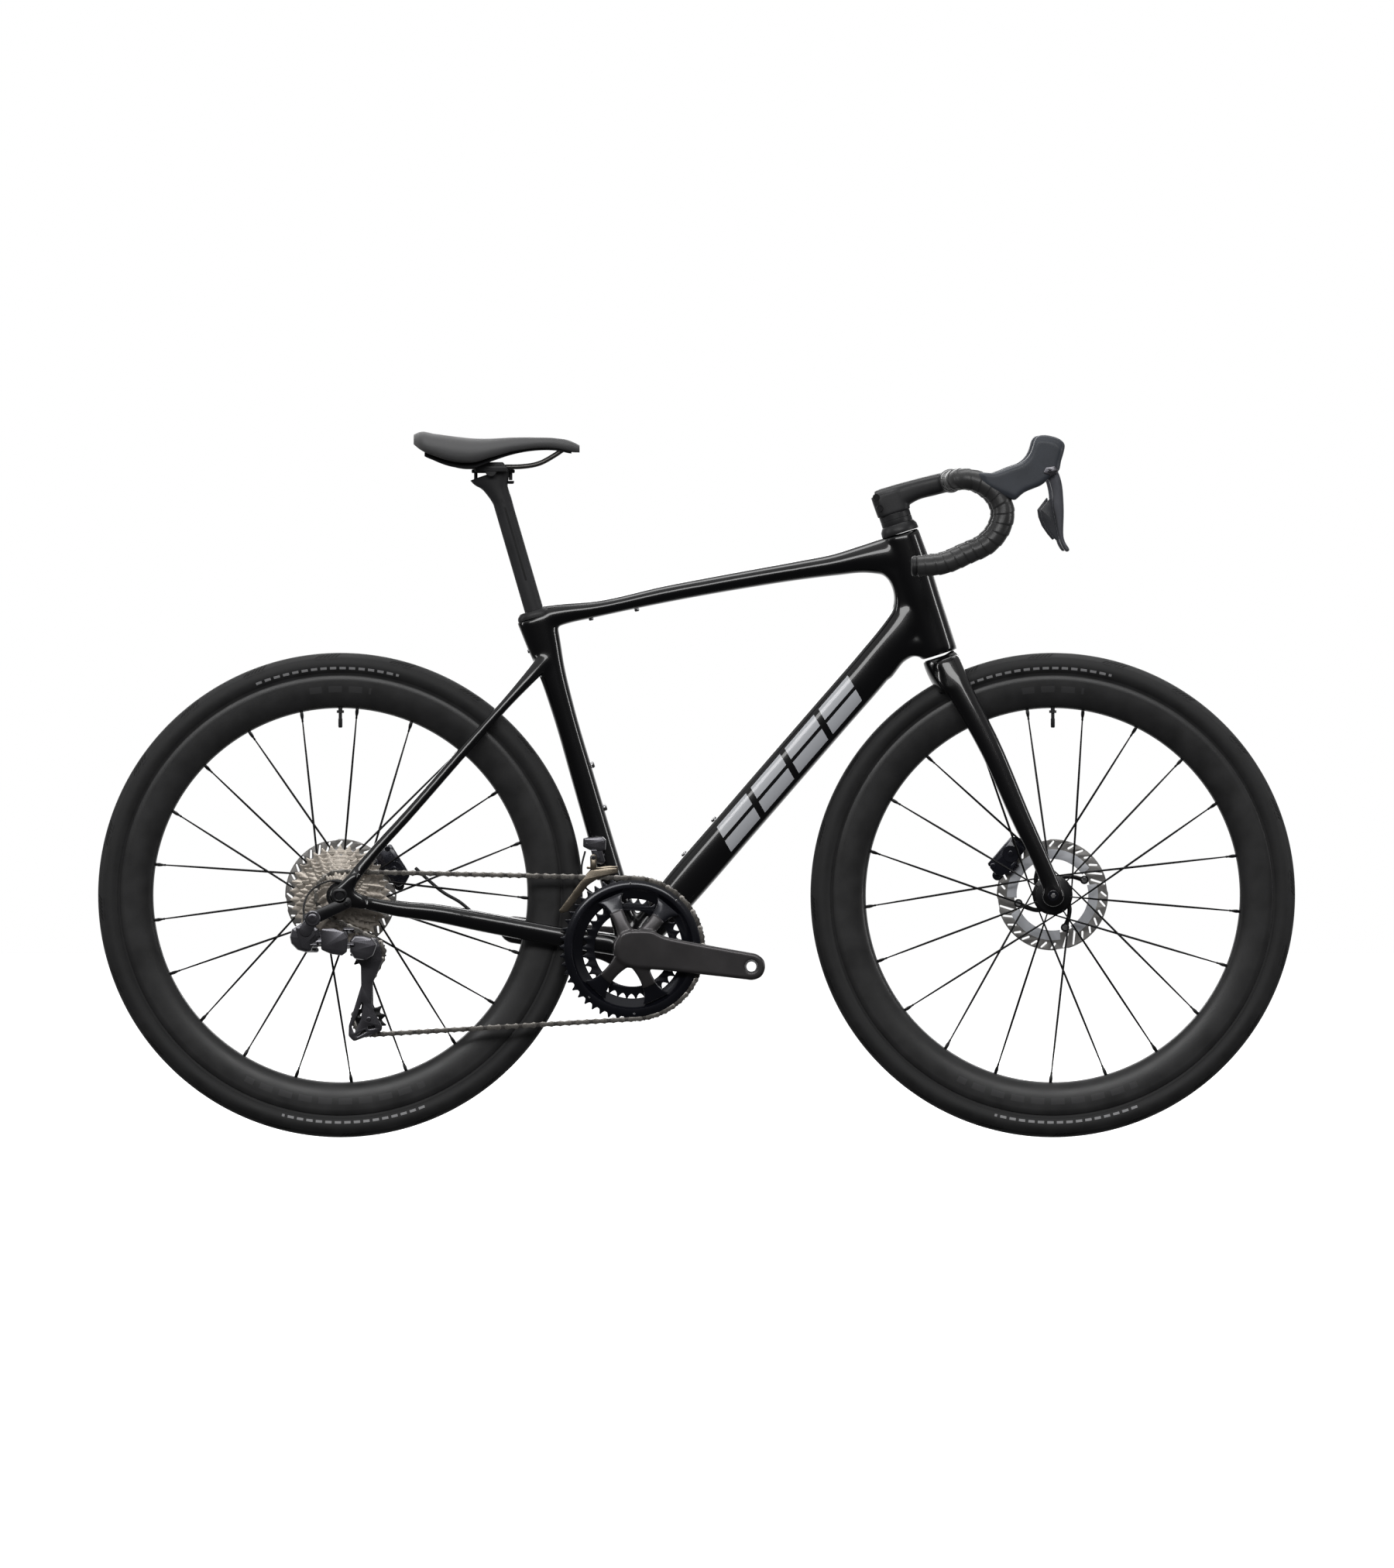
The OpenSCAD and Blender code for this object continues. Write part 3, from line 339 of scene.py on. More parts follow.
def bake(obj, crease=35):
    """Applies every modifier on obj."""
    graph = bpy.context.evaluated_depsgraph_get()
    mesh = bpy.data.meshes.new_from_object(obj.evaluated_get(graph))
    obj.modifiers.clear()
    old = obj.data
    obj.data = mesh
    bpy.data.meshes.remove(old)
    finish_mesh(mesh, crease)
    return obj


def blended(name, skins, voxel=2.0, passes=12, crease=60):
    """Skins run together into one, with their junctions filled and smoothed."""
    obj = make(name, joined(*skins))
    skin = obj.modifiers.new("run together", "REMESH")
    skin.mode = "VOXEL"
    skin.voxel_size = voxel * MM
    soften = obj.modifiers.new("soften", "SMOOTH")
    soften.iterations = passes
    return bake(obj, crease)


def even_normals(obj, rounds=8):
    """Shades a rebuilt skin with normals averaged over their neighbours, so that its grid doesn't show."""
    mesh = obj.data
    n = np.empty(len(mesh.vertices) * 3)
    mesh.vertex_normals.foreach_get("vector", n)
    n = n.reshape(-1, 3)
    ends = np.empty(len(mesh.edges) * 2, int)
    mesh.edges.foreach_get("vertices", ends)
    a, b = ends[0::2], ends[1::2]
    for _ in range(rounds):
        total = n.copy()
        for k in range(3):
            total[:, k] += np.bincount(a, n[b, k], len(n)) + np.bincount(b, n[a, k], len(n))
        n = total / np.maximum(np.linalg.norm(total, axis=1, keepdims=True), 1e-9)
    mesh.normals_split_custom_set_from_vertices(n.tolist())
    return obj


def plate_skin(loops, y0, y1, bevel=0.2):
    """A flat plate from y0 to y1. The first loop is its outline, and the rest are holes."""
    curve = bpy.data.curves.new("outline", "CURVE")
    curve.dimensions = "2D"
    curve.fill_mode = "BOTH"
    curve.extrude = max((y1 - y0) / 2 - bevel, 0) * MM
    curve.bevel_depth = bevel * MM
    curve.bevel_resolution = 1
    curve.offset = -bevel * MM
    for loop in loops:
        s = curve.splines.new("POLY")
        s.points.add(len(loop) - 1)
        for point, q in zip(s.points, loop):
            point.co = (q[0] * MM, q[1] * MM, 0, 1)
        s.use_cyclic_u = True
    obj = bpy.data.objects.new("outline", curve)
    bpy.context.scene.collection.objects.link(obj)
    graph = bpy.context.evaluated_depsgraph_get()
    mesh = bpy.data.meshes.new_from_object(obj.evaluated_get(graph))
    v = np.array([p.co for p in mesh.vertices]) / MM
    f = [list(p.vertices) for p in mesh.polygons]
    bpy.data.objects.remove(obj)
    bpy.data.curves.remove(curve)
    bpy.data.meshes.remove(mesh)
    upright = np.stack([v[:, 0], (y0 + y1) / 2 - v[:, 2], v[:, 1]], 1)
    return upright, f


def bolt_skin(at, way, r, h, socket=0.5):
    """A round-headed bolt with a hexagonal socket."""
    way = Vector(way).normalized()
    spin = Vector((0, 1, 0)).rotation_difference(way).to_matrix().to_4x4()
    spin.translation = Vector(at)
    rings = [[0, 0], [r, 0], [r, h * 0.6], [r * 0.8, h * 0.95], [r * socket, h]]
    body = turned(rings, (0, 0), 24)
    a = np.linspace(0, 2 * math.pi, 24, endpoint=False)
    hexagon = 1 / np.cos((a % (math.pi / 3)) - math.pi / 6) * 0.87 * r * socket
    well = [np.stack([hexagon * np.cos(a), np.full(24, y), hexagon * np.sin(a)], 1)
        for y in (h, h * 0.35)]
    v = np.concatenate([body[0], *well, [[0, h * 0.35, 0]]])
    n = len(rings)
    f = body[1] + [[i + (n - 1) * 24 for i in q] for q in grid_faces(3, 24)]
    last = (n + 1) * 24
    f += [[last + j, last + (j + 1) % 24, last + 24] for j in range(24)]
    return placed((v, f), spin)


def dress(obj, body, maker, replaces=()):
    """Gives a piece its finish, its body and the frame nodes that it stands for."""
    obj.data.materials.clear()
    obj.data.materials.append(finish(maker))
    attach(obj, body)
    if replaces:
        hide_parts(*replaces)
    return obj


def recentre(obj, c):
    """Puts a turning piece's own origin on its axle, for textures that run round it."""
    at = Vector((c[0] * MM, 0, c[1] * MM))
    obj.data.transform(Matrix.Translation(-at))
    obj.location = at
    return obj


# ---- Shader groups and finishes --------------------------------------------


def new_group(name, inputs, outputs):
    """An empty shader group. inputs are (name, default), and outputs are names ending in Color or not."""
    tree = bpy.data.node_groups.new(name, "ShaderNodeTree")
    for label, value in inputs:
        tree.interface.new_socket(label, in_out="INPUT",
            socket_type="NodeSocketFloat").default_value = value
    for label in outputs:
        tree.interface.new_socket(label, in_out="OUTPUT", socket_type="NodeSocketFloat")
    return tree, tree.nodes.new("NodeGroupInput"), tree.nodes.new("NodeGroupOutput")


def maths(tree, operation, a, b=None, c=None):
    """A Math node on sockets or plain numbers, and its value."""
    n = tree.nodes.new("ShaderNodeMath")
    n.operation = operation
    for i, x in enumerate((a, b, c)):
        if x is None:
            continue
        if isinstance(x, (int, float)):
            n.inputs[i].default_value = x
        else:
            tree.links.new(x, n.inputs[i])
    return n.outputs[0]


def object_axes(tree):
    """The piece's own coordinates as three sockets, in metres."""
    place = tree.nodes.new("ShaderNodeTexCoord")
    split = tree.nodes.new("ShaderNodeSeparateXYZ")
    tree.links.new(place.outputs["Object"], split.inputs[0])
    return place.outputs["Object"], split.outputs


def noise(tree, vector, scale, detail=3.0):
    """A Noise node's value; scale is a number or a socket."""
    n = tree.nodes.new("ShaderNodeTexNoise")
    n.inputs["Detail"].default_value = detail
    if vector is not None:
        tree.links.new(vector, n.inputs["Vector"])
    if isinstance(scale, (int, float)):
        n.inputs["Scale"].default_value = scale
    else:
        tree.links.new(scale, n.inputs["Scale"])
    return n.outputs[0]


def remap(tree, value, low, high, to_low, to_high):
    n = tree.nodes.new("ShaderNodeMapRange")
    tree.links.new(value, n.inputs["Value"])
    for key, x in (("From Min", low), ("From Max", high), ("To Min", to_low), ("To Max", to_high)):
        if isinstance(x, (int, float)):
            n.inputs[key].default_value = x
        else:
            tree.links.new(x, n.inputs[key])
    return n.outputs[0]


def grain_group():
    """Uneven shine, faint colour clouds and a fine grain, for every finish."""
    tree, given, out = new_group(
        "Grain", [("Scale", 900.0), ("Cloud Scale", 14.0), ("Roughness", 0.4), ("Spread", 0.1)],
        ["Clouds", "Roughness", "Height"])
    place, _ = object_axes(tree)
    clouds = noise(tree, place, given.outputs["Cloud Scale"], 4.0)
    fine = noise(tree, place, given.outputs["Scale"], 2.0)
    low = maths(tree, "SUBTRACT", given.outputs["Roughness"], given.outputs["Spread"])
    high = maths(tree, "ADD", given.outputs["Roughness"], given.outputs["Spread"])
    tree.links.new(remap(tree, clouds, 0.3, 0.7, 0.0, 1.0), out.inputs["Clouds"])
    tree.links.new(remap(tree, clouds, 0.25, 0.75, low, high), out.inputs["Roughness"])
    tree.links.new(fine, out.inputs["Height"])
    return tree


def round_brush_group():
    """Fine rings round the piece's own Y axis, as a lathe or a blanking press leaves."""
    tree, given, out = new_group("Round brushing", [("Rings", 2600.0), ("Strength", 0.5)],
        ["Shade", "Height"])
    _, axes = object_axes(tree)
    x2 = maths(tree, "MULTIPLY", axes["X"], axes["X"])
    r = maths(tree, "SQRT", maths(tree, "MULTIPLY_ADD", axes["Z"], axes["Z"], x2))
    join = tree.nodes.new("ShaderNodeCombineXYZ")
    tree.links.new(maths(tree, "MULTIPLY", r, given.outputs["Rings"]), join.inputs[0])
    angle = maths(tree, "ARCTAN2", axes["Z"], axes["X"])
    tree.links.new(maths(tree, "MULTIPLY", angle, 3.0), join.inputs[1])
    streaks = noise(tree, join.outputs[0], 1.0, 2.0)
    middle = maths(tree, "SUBTRACT", streaks, 0.5)
    tree.links.new(maths(tree, "MULTIPLY_ADD", middle, given.outputs["Strength"], 0.5),
        out.inputs["Shade"])
    tree.links.new(streaks, out.inputs["Height"])
    return tree


def ribs_group():
    """Parallel ribs across the piece, leaning by Slope."""
    tree, given, out = new_group("Ribs", [("Spacing", 0.003), ("Slope", 1.0), ("Rise", 0.0)],
        ["Height"])
    _, axes = object_axes(tree)
    u = maths(tree, "MULTIPLY_ADD", axes["Z"], given.outputs["Slope"], axes["X"])
    u = maths(tree, "MULTIPLY_ADD", axes["Y"], given.outputs["Rise"], u)
    wave = maths(tree, "SINE",
        maths(tree, "MULTIPLY", maths(tree, "DIVIDE", u, given.outputs["Spacing"]), 2 * math.pi))
    tree.links.new(maths(tree, "MULTIPLY_ADD", wave, 0.5, 0.5), out.inputs["Height"])
    return tree


def arc_mask_group():
    """One on an arc band round the piece's Y axis, and zero elsewhere."""
    tree, given, out = new_group(
        "Arc band", [("Radius", 0.3), ("Half Width", 0.002), ("Start", 0.0), ("End", 1.0),
            ("Dashes", 0.0)], ["Mask"])
    _, axes = object_axes(tree)
    x2 = maths(tree, "MULTIPLY", axes["X"], axes["X"])
    r = maths(tree, "SQRT", maths(tree, "MULTIPLY_ADD", axes["Z"], axes["Z"], x2))
    near = maths(tree, "LESS_THAN",
        maths(tree, "ABSOLUTE", maths(tree, "SUBTRACT", r, given.outputs["Radius"])),
                 given.outputs["Half Width"])
    angle = maths(tree, "ARCTAN2", axes["Z"], axes["X"])
    inside = maths(tree, "MULTIPLY", maths(tree, "GREATER_THAN", angle, given.outputs["Start"]),
                   maths(tree, "LESS_THAN", angle, given.outputs["End"]))
    dash = maths(tree, "GREATER_THAN",
        maths(tree, "SINE", maths(tree, "MULTIPLY", angle, given.outputs["Dashes"])), -0.5)
    tree.links.new(maths(tree, "MULTIPLY", maths(tree, "MULTIPLY", near, inside), dash),
        out.inputs["Mask"])
    return tree


GROUPS = {"grain": grain_group, "brush": round_brush_group, "ribs": ribs_group,
    "arc": arc_mask_group}


class Finish:
    """A material being put together: a Principled shader with grain, tint and bump."""

    def __init__(self, name, colour, rough, spread=0.06, cloud=0.12, scale=900, cloud_scale=14,
        bump=0.15, depth=0.00008,
                 metal=0.0, coat=0.0, coat_rough=0.05, sheen=0.0):
        self.mat = bpy.data.materials.new(name)
        self.mat.use_nodes = True
        self.tree = self.mat.node_tree
        self.shader = self.tree.nodes["Principled BSDF"]
        self.shader.inputs["Metallic"].default_value = metal
        self.shader.inputs["Coat Weight"].default_value = coat
        self.shader.inputs["Coat Roughness"].default_value = coat_rough
        self.shader.inputs["Sheen Weight"].default_value = sheen
        grain = self.use("grain", Scale=scale, Roughness=rough, Spread=spread)
        grain.inputs["Cloud Scale"].default_value = cloud_scale
        self.tree.links.new(grain.outputs["Roughness"], self.shader.inputs["Roughness"])
        darker = [c * (1 - cloud) for c in colour[:3]]
        lighter = [min(1, c * (1 + cloud)) for c in colour[:3]]
        self.colour = self.blend(grain.outputs["Clouds"], darker, lighter)
        self.height = grain.outputs["Height"]
        self.bump_strength, self.bump_depth = bump, depth

    def use(self, key, **values):
        """Places a shared group with its own values."""
        label = "road bicycle " + key
        tree = bpy.data.node_groups.get(label)
        if tree is None:
            tree = GROUPS[key]()
            tree.name = label
        node = self.tree.nodes.new("ShaderNodeGroup")
        node.node_tree = tree
        for socket, value in values.items():
            node.inputs[socket.replace("_", " ")].default_value = value
        return node

    def blend(self, mask, a, b):
        """A colour that goes from a to b with a mask; each is a colour or a socket."""
        mix = self.tree.nodes.new("ShaderNodeMix")
        mix.data_type = "RGBA"
        self.tree.links.new(mask, mix.inputs["Factor"])
        for key, x in ((6, a), (7, b)):
            if isinstance(x, (list, tuple)):
                mix.inputs[key].default_value = (*x[:3], 1)
            else:
                self.tree.links.new(x, mix.inputs[key])
        return mix.outputs[2]

    def paint(self, mask, colour):
        """Lays a second colour over the first where the mask is one."""
        self.colour = self.blend(mask, self.colour, colour)

    def raise_by(self, height, amount):
        """Adds another relief to the bump."""
        self.height = maths(self.tree, "MULTIPLY_ADD", height, amount, self.height)

    def done(self):
        self.tree.links.new(self.colour, self.shader.inputs["Base Color"])
        bump = self.tree.nodes.new("ShaderNodeBump")
        bump.inputs["Strength"].default_value = self.bump_strength
        bump.inputs["Distance"].default_value = self.bump_depth
        self.tree.links.new(self.height, bump.inputs["Height"])
        self.tree.links.new(bump.outputs["Normal"], self.shader.inputs["Normal"])
        return self.mat


def tones():
    """The scene's colours."""
    return bpy.context.scene.road_bicycle_tones


EMBLEM_ORIGIN = (0.030, -0.348)
EMBLEM_WAY = (0.6535, 0.757)
EMBLEM_RUN = (0.106, 0.3995)
EMBLEM_PITCH, EMBLEM_BLOCK = 0.0745, 0.0640
EMBLEM_HALF, EMBLEM_SPLIT = 0.0195, 0.0024
EMBLEM_SLANT = -0.35
# Painted highlight: the near-white colour at the upper edge of the down tube blocks
EMBLEM_PAINTED_HIGHLIGHT = (0.90, 0.92, 0.96)
FLANK = 0.012


def frame_lacquer():
    """Gloss black lacquer, with slanted silver blocks along the down tube; the blocks carry a painted
    highlight, lighter towards their upper edge.
    """
    f = Finish("frame lacquer", tones().lacquer, 0.22, 0.03, 0.3, 60, 5, 0.01, 0.00001, coat=1.0,
        coat_rough=0.03)
    t = f.tree
    _, axes = object_axes(t)
    x = maths(t, "ADD", axes["X"], EMBLEM_ORIGIN[0])
    z = maths(t, "ADD", axes["Z"], EMBLEM_ORIGIN[1])
    # u runs up the down tube and v runs across it
    way_x, way_z = EMBLEM_WAY
    u = maths(t, "MULTIPLY_ADD", x, way_x, maths(t, "MULTIPLY", z, way_z))
    v = maths(t, "MULTIPLY_ADD", x, -way_z, maths(t, "MULTIPLY", z, way_x))
    slanted = maths(t, "MULTIPLY_ADD", v, EMBLEM_SLANT, u)
    start, end = EMBLEM_RUN
    within = maths(t, "MODULO", maths(t, "ADD", slanted, -start), EMBLEM_PITCH)
    block = maths(t, "LESS_THAN", within, EMBLEM_BLOCK)
    run = maths(
        t, "MULTIPLY", maths(t, "GREATER_THAN", slanted, start),
        maths(t, "LESS_THAN", slanted, end))
    across = maths(t, "ABSOLUTE", v)
    band = maths(
        t, "MULTIPLY", maths(t, "LESS_THAN", across, EMBLEM_HALF),
        maths(t, "GREATER_THAN", across, EMBLEM_SPLIT))
    side = maths(t, "GREATER_THAN", maths(t, "ABSOLUTE", axes["Y"]), FLANK)
    mask = maths(t, "MULTIPLY", maths(t, "MULTIPLY", block, run), maths(t, "MULTIPLY", band, side))
    # Painted highlight: each block blends from its own colour to near white towards the tube's upper edge
    painted_highlight_ramp = remap(t, v, -0.02, 0.02, 0.0, 1.0)
    f.paint(mask, f.blend(painted_highlight_ramp, tones().emblem[:3], EMBLEM_PAINTED_HIGHLIGHT))
    return f.done()


def fork_lacquer():
    return Finish("fork lacquer", tones().lacquer, 0.22, 0.03, 0.3, 60, 5, 0.01, 0.00001, coat=1.0,
        coat_rough=0.03).done()


def satin_black():
    return Finish("satin black", (0.022, 0.022, 0.024), 0.46, 0.06, 0.2, 1500, 20, 0.12, coat=0.15,
        coat_rough=0.3).done()


def post_black():
    """Matte dark grey carbon with a polished stripe."""
    f = Finish("post black", (0.034, 0.034, 0.037), 0.55, 0.05, 0.2, 1600, 24, 0.12)
    t = f.tree
    _, axes = object_axes(t)
    z = maths(t, "GREATER_THAN", axes["Z"], 0.80)
    low = maths(t, "LESS_THAN", axes["Z"], 0.905)
    edge = maths(t, "MULTIPLY_ADD", axes["Z"], 0.2915, axes["X"])
    band = maths(t, "LESS_THAN", maths(t, "ABSOLUTE", maths(t, "ADD", edge, 0.0115)), 0.0016)
    f.paint(maths(t, "MULTIPLY", maths(t, "MULTIPLY", z, low), band), (0.004, 0.004, 0.005))
    return f.done()


def rim_carbon():
    """Satin carbon, clouded along the fibres, with two darker gloss arcs."""
    f = Finish("rim carbon", (0.030, 0.030, 0.031), 0.40, 0.06, 0.22, 1200, 30, 0.10, coat=0.25,
        coat_rough=0.28)
    for start, end in ((1.42, 1.72), (-2.05, -1.15)):
        arc = f.use("arc", Radius=0.296, Half_Width=0.0045, Start=start, End=end, Dashes=64.0)
        f.paint(arc.outputs["Mask"], (0.052, 0.052, 0.054))
    return f.done()


def tyre_rubber():
    """Dark rubber with a plain dashed pale arc on the sidewall."""
    f = Finish("tyre rubber", tones().rubber, 0.62, 0.07, 0.2, 1400, 40, 0.35, 0.00012)
    for start, end in ((1.31, 1.95), (-1.83, -1.19)):
        arc = f.use("arc", Radius=0.3262, Half_Width=0.0018, Start=start, End=end, Dashes=150.0)
        f.paint(arc.outputs["Mask"], (0.42, 0.42, 0.43))
    return f.done()


def tread_rubber():
    return Finish("tread rubber", (0.006, 0.006, 0.0065), 0.75, 0.05, 0.2, 1200, 30, 0.3).done()


def black_alloy():
    return Finish("black alloy", (0.012, 0.012, 0.014), 0.34, 0.06, 0.25, 1800, 40, 0.10,
        metal=0.35, coat=0.35, coat_rough=0.2).done()


def ring_black():
    """Gloss black anodised plate, turned on a lathe."""
    f = Finish("ring black", (0.012, 0.013, 0.020), 0.25, 0.05, 0.2, 300, 20, 0.03, 0.00002,
        metal=0.45, coat=0.8, coat_rough=0.1)
    brush = f.use("brush", Rings=1800.0, Strength=0.5)
    f.raise_by(brush.outputs["Height"], 0.6)
    return f.done()


def spoke_steel():
    return Finish("spoke steel", (0.014, 0.014, 0.015), 0.35, 0.05, 0.2, 2000, 60, 0.08,
        metal=0.5).done()


def gunmetal():
    return Finish("gunmetal", tones().gunmetal, 0.27, 0.05, 0.15, 300, 25, 0.01, 0.00002,
        metal=0.75, coat=0.7, coat_rough=0.08).done()


def lever_grey():
    """Bright grey lacquered alloy."""
    return Finish("lever grey", (0.20, 0.205, 0.23), 0.28, 0.04, 0.1, 300, 15, 0.01, 0.00002,
        metal=0.7, coat=0.8, coat_rough=0.08).done()


def caliper_black():
    """Gloss blue-black enamel."""
    return Finish("caliper black", (0.018, 0.019, 0.030), 0.26, 0.04, 0.15, 300, 25, 0.01, 0.00002,
        metal=0.45, coat=0.9, coat_rough=0.07).done()


def crank_grey():
    """Satin warm grey anodising."""
    f = Finish("crank grey", (0.095, 0.090, 0.093), 0.34, 0.05, 0.12, 400, 18, 0.02, 0.00002,
        metal=0.65, coat=0.25, coat_rough=0.22)
    return f.done()


def champagne():
    f = Finish("champagne plating", tones().champagne, 0.34, 0.07, 0.10, 1600, 70, 0.12, metal=0.55)
    brush = f.use("brush", Rings=1500.0, Strength=0.6)
    f.raise_by(brush.outputs["Height"], 0.4)
    return f.done()


def chain_steel():
    return Finish("chain steel", (0.12, 0.112, 0.105), 0.36, 0.08, 0.2, 1800, 160, 0.15,
        metal=0.6).done()


def chain_bright():
    return Finish("chain bright", (0.27, 0.255, 0.235), 0.30, 0.06, 0.12, 1800, 160, 0.1,
        metal=0.6).done()


def rotor_steel():
    """Blanked steel, ground in rings."""
    f = Finish("rotor steel", (0.34, 0.33, 0.32), 0.42, 0.06, 0.08, 1800, 60, 0.15, metal=0.35)
    brush = f.use("brush", Rings=3200.0, Strength=0.7)
    f.raise_by(brush.outputs["Height"], 0.9)
    return f.done()


def rotor_alloy():
    return Finish("rotor alloy", (0.80, 0.82, 0.87), 0.5, 0.04, 0.04, 600, 40, 0.03,
        metal=0.1).done()


def bronze():
    return Finish("bronze chrome", tones().bronze, 0.24, 0.05, 0.1, 300, 40, 0.01, 0.00002,
        metal=0.9).done()


def bare_steel():
    return Finish("bare steel", (0.55, 0.55, 0.56), 0.28, 0.06, 0.1, 1500, 80, 0.1,
        metal=1.0).done()


def pad_grey():
    return Finish("pad grey", (0.18, 0.17, 0.16), 0.8, 0.08, 0.3, 2600, 200, 0.5).done()


def bar_tape():
    """Satin wrapped tape with a fine pebble."""
    f = Finish("bar tape", (0.044, 0.044, 0.045), 0.40, 0.06, 0.18, 2400, 30, 0.25, 0.0001,
        coat=0.35, coat_rough=0.34)
    pebble = f.tree.nodes.new("ShaderNodeTexVoronoi")
    pebble.inputs["Scale"].default_value = 620.0
    place, _ = object_axes(f.tree)
    f.tree.links.new(place, pebble.inputs["Vector"])
    f.raise_by(pebble.outputs["Distance"], 0.7)
    return f.done()


def hood_rubber():
    """Soft blue-grey rubber with fine slanting ribs."""
    f = Finish("hood rubber", tones().hood, 0.46, 0.06, 0.15, 1800, 25, 0.2, 0.0001, coat=0.25,
        coat_rough=0.4)
    ribs = f.use("ribs", Spacing=0.0034, Slope=0.6)
    f.raise_by(ribs.outputs["Height"], 0.35)
    return f.done()


def button_rubber():
    """Darker moulding with close ribs."""
    f = Finish("button moulding", (0.034, 0.036, 0.044), 0.42, 0.05, 0.15, 1800, 40, 0.3, 0.0001,
        coat=0.2, coat_rough=0.3)
    ribs = f.use("ribs", Spacing=0.0022, Slope=-0.35)
    f.raise_by(ribs.outputs["Height"], 0.4)
    return f.done()


def saddle_cover():
    """Matte grey cover; its shoulders carry a finely ribbed patch."""
    f = Finish("saddle cover", tones().saddle, 0.58, 0.05, 0.12, 2200, 22, 0.3, 0.00014, sheen=0.15)
    t = f.tree
    _, axes = object_axes(t)
    ribs = f.use("ribs", Spacing=0.0026, Slope=0.5, Rise=0.8)
    patch = maths(t, "MULTIPLY", remap(t, axes["X"], -0.392, -0.372, 0.0, 1.0),
        remap(t, axes["X"], -0.262, -0.235, 1.0, 0.0))
    f.raise_by(maths(t, "MULTIPLY", ribs.outputs["Height"], patch), 1.6)
    return f.done()


def rail_grey():
    return Finish("rail grey", (0.13, 0.125, 0.12), 0.35, 0.05, 0.15, 1500, 50, 0.1,
        metal=0.8).done()


def floor_paint():
    """White paper, bright enough to run into the backdrop."""
    f = Finish("floor paper", (0.80, 0.80, 0.81), 0.75, 0.05, 0.01, 60, 2, 0.05)
    f.shader.inputs["Emission Color"].default_value = (1, 1, 1, 1)
    f.shader.inputs["Emission Strength"].default_value = 0.85
    return f.done()


def finish(maker):
    """The finish that maker makes, made once."""
    name = "made " + maker.__name__
    found = bpy.data.materials.get(name)
    if found is None:
        found = maker()
        found.name = name
    return found


# ---- The bicycle's own measures --------------------------------------------

RING_Y, INNER_RING_Y, CHAIN_Y = -47.5, -40.5, -44.25
SPROCKET_GAP = 3.55
ROTOR_Y = {"front": 35.0, "rear": 52.0}
ROTOR_RIVETS = (25, 109, 194, 291)
# Phase, first radial spoke, and where crossed and radial spokes meet the hub
LACING = {"rear": (86.6, 8, -16, 30), "front": (90.7, 7, 22, -34)}
CALIPERS = {
    "rear": ((-438.5, 389.6), -58, "frame_body"),
    "front": ((447.6, 402.5), 49, "front_end"),
}
BAR_HALF = 207
CRANK_LENGTH = 172.5
SPIDER = (49.7, 113.6, 228, 295)
GUIDE = np.array([-471.0, 266.0])
TENSION = np.array([-470.13, 170.6])

TOP_TUBE = [
    (-232, 0, 742, 16, 20), (-190, 0, 752, 16, 15), (-150, 0, 758, 16, 12),
    (-44, 0, 780.5, 16.5, 12.2),
    (67, 0, 801, 18, 12.8), (150, 0, 815, 19, 14), (200, 0, 823, 20, 16), (240, 0, 831, 21, 20.5),
    (272, 0, 834.5, 22, 27.5), (300, 0, 836, 22, 33),
]
DOWN_TUBE = [
    (-80, 0, 288, 24, 24), (-30, 0, 348, 25, 28), (62, 0, 455, 25.5, 28.7),
    (196, 0, 610, 25.5, 28.7),
    (254, 0, 677, 25.5, 28.7), (290, 0, 722, 25, 28), (312, 0, 756, 22, 26),
]
HEAD_GUSSET = [(258, 0, 826, 16, 10), (284, 0, 807, 16, 11), (295, 0, 772, 16, 11.5),
    (290, 0, 749, 16, 12), (270, 0, 722, 17, 12)]
THROAT = [(262, 0, 676, 24, 24), (288, 0, 701, 23, 20.5), (316, 0, 710, 22, 18),
    (338, 0, 704, 24, 15)]
HEAD_WEB = [
    (236, 822), (256, 817), (278.5, 798), (285, 772), (282, 755), (267, 733), (250, 712),
    (240, 690), (240, 655), (262, 652), (290, 681),
    (308, 691), (328, 690), (342, 705), (332, 750), (316, 800), (304, 838), (290, 848), (250, 840),
]
HEAD_TUBE = [(-187, 27.5, 27), (-150, 27, 27), (-90, 26, 27), (-40, 25.5, 28), (-4.6, 25, 27)]
SEAT_TUBE = [(8, 20, 20), (120, 19, 18), (250, 17.5, 16.8), (360, 17, 16.8), (420, 17.5, 20),
    (455, 18, 24.5), (495, 18.5, 28.5)]
CHAINSTAY = [
    (-503, 70, 345.5, 4.5, 14), (-474, 66, 338, 6, 10.5), (-430, 60, 329, 7.5, 11),
    (-378, 53, 323, 9, 12.5),
    (-311, 43, 310.5, 9.5, 14), (-240, 34.5, 297, 9, 14.5), (-180, 29.5, 286, 9, 14.5),
    (-130, 27, 279, 10, 15),
    (-96, 24, 273, 11, 15),
]
SEATSTAY = [
    (-507, 70, 354, 4.5, 12), (-488, 66, 379, 5.5, 9.5), (-460, 60, 413, 6, 8),
    (-416, 51, 461.5, 6.5, 7.6),
    (-330, 38, 560, 7, 7.6), (-265, 28, 633, 8, 8), (-237, 19, 664, 9, 10), (-214, 9, 690, 9, 12),
]
FORK_CROWN = [(-190, 27, 26), (-205, 33, 25.5), (-222, 42, 23), (-240, 47, 18)]
FORK_LEG = [
    (358, 25, 684, 14, 20), (371, 34, 655, 12, 19.5), (383, 38, 632.7, 10.5, 18),
    (418.7, 44, 566, 9.5, 16),
    (467.5, 49.5, 455, 8.5, 14), (496.4, 53.5, 392.4, 7, 12.7), (510, 56, 358, 5.5, 13.5),
]
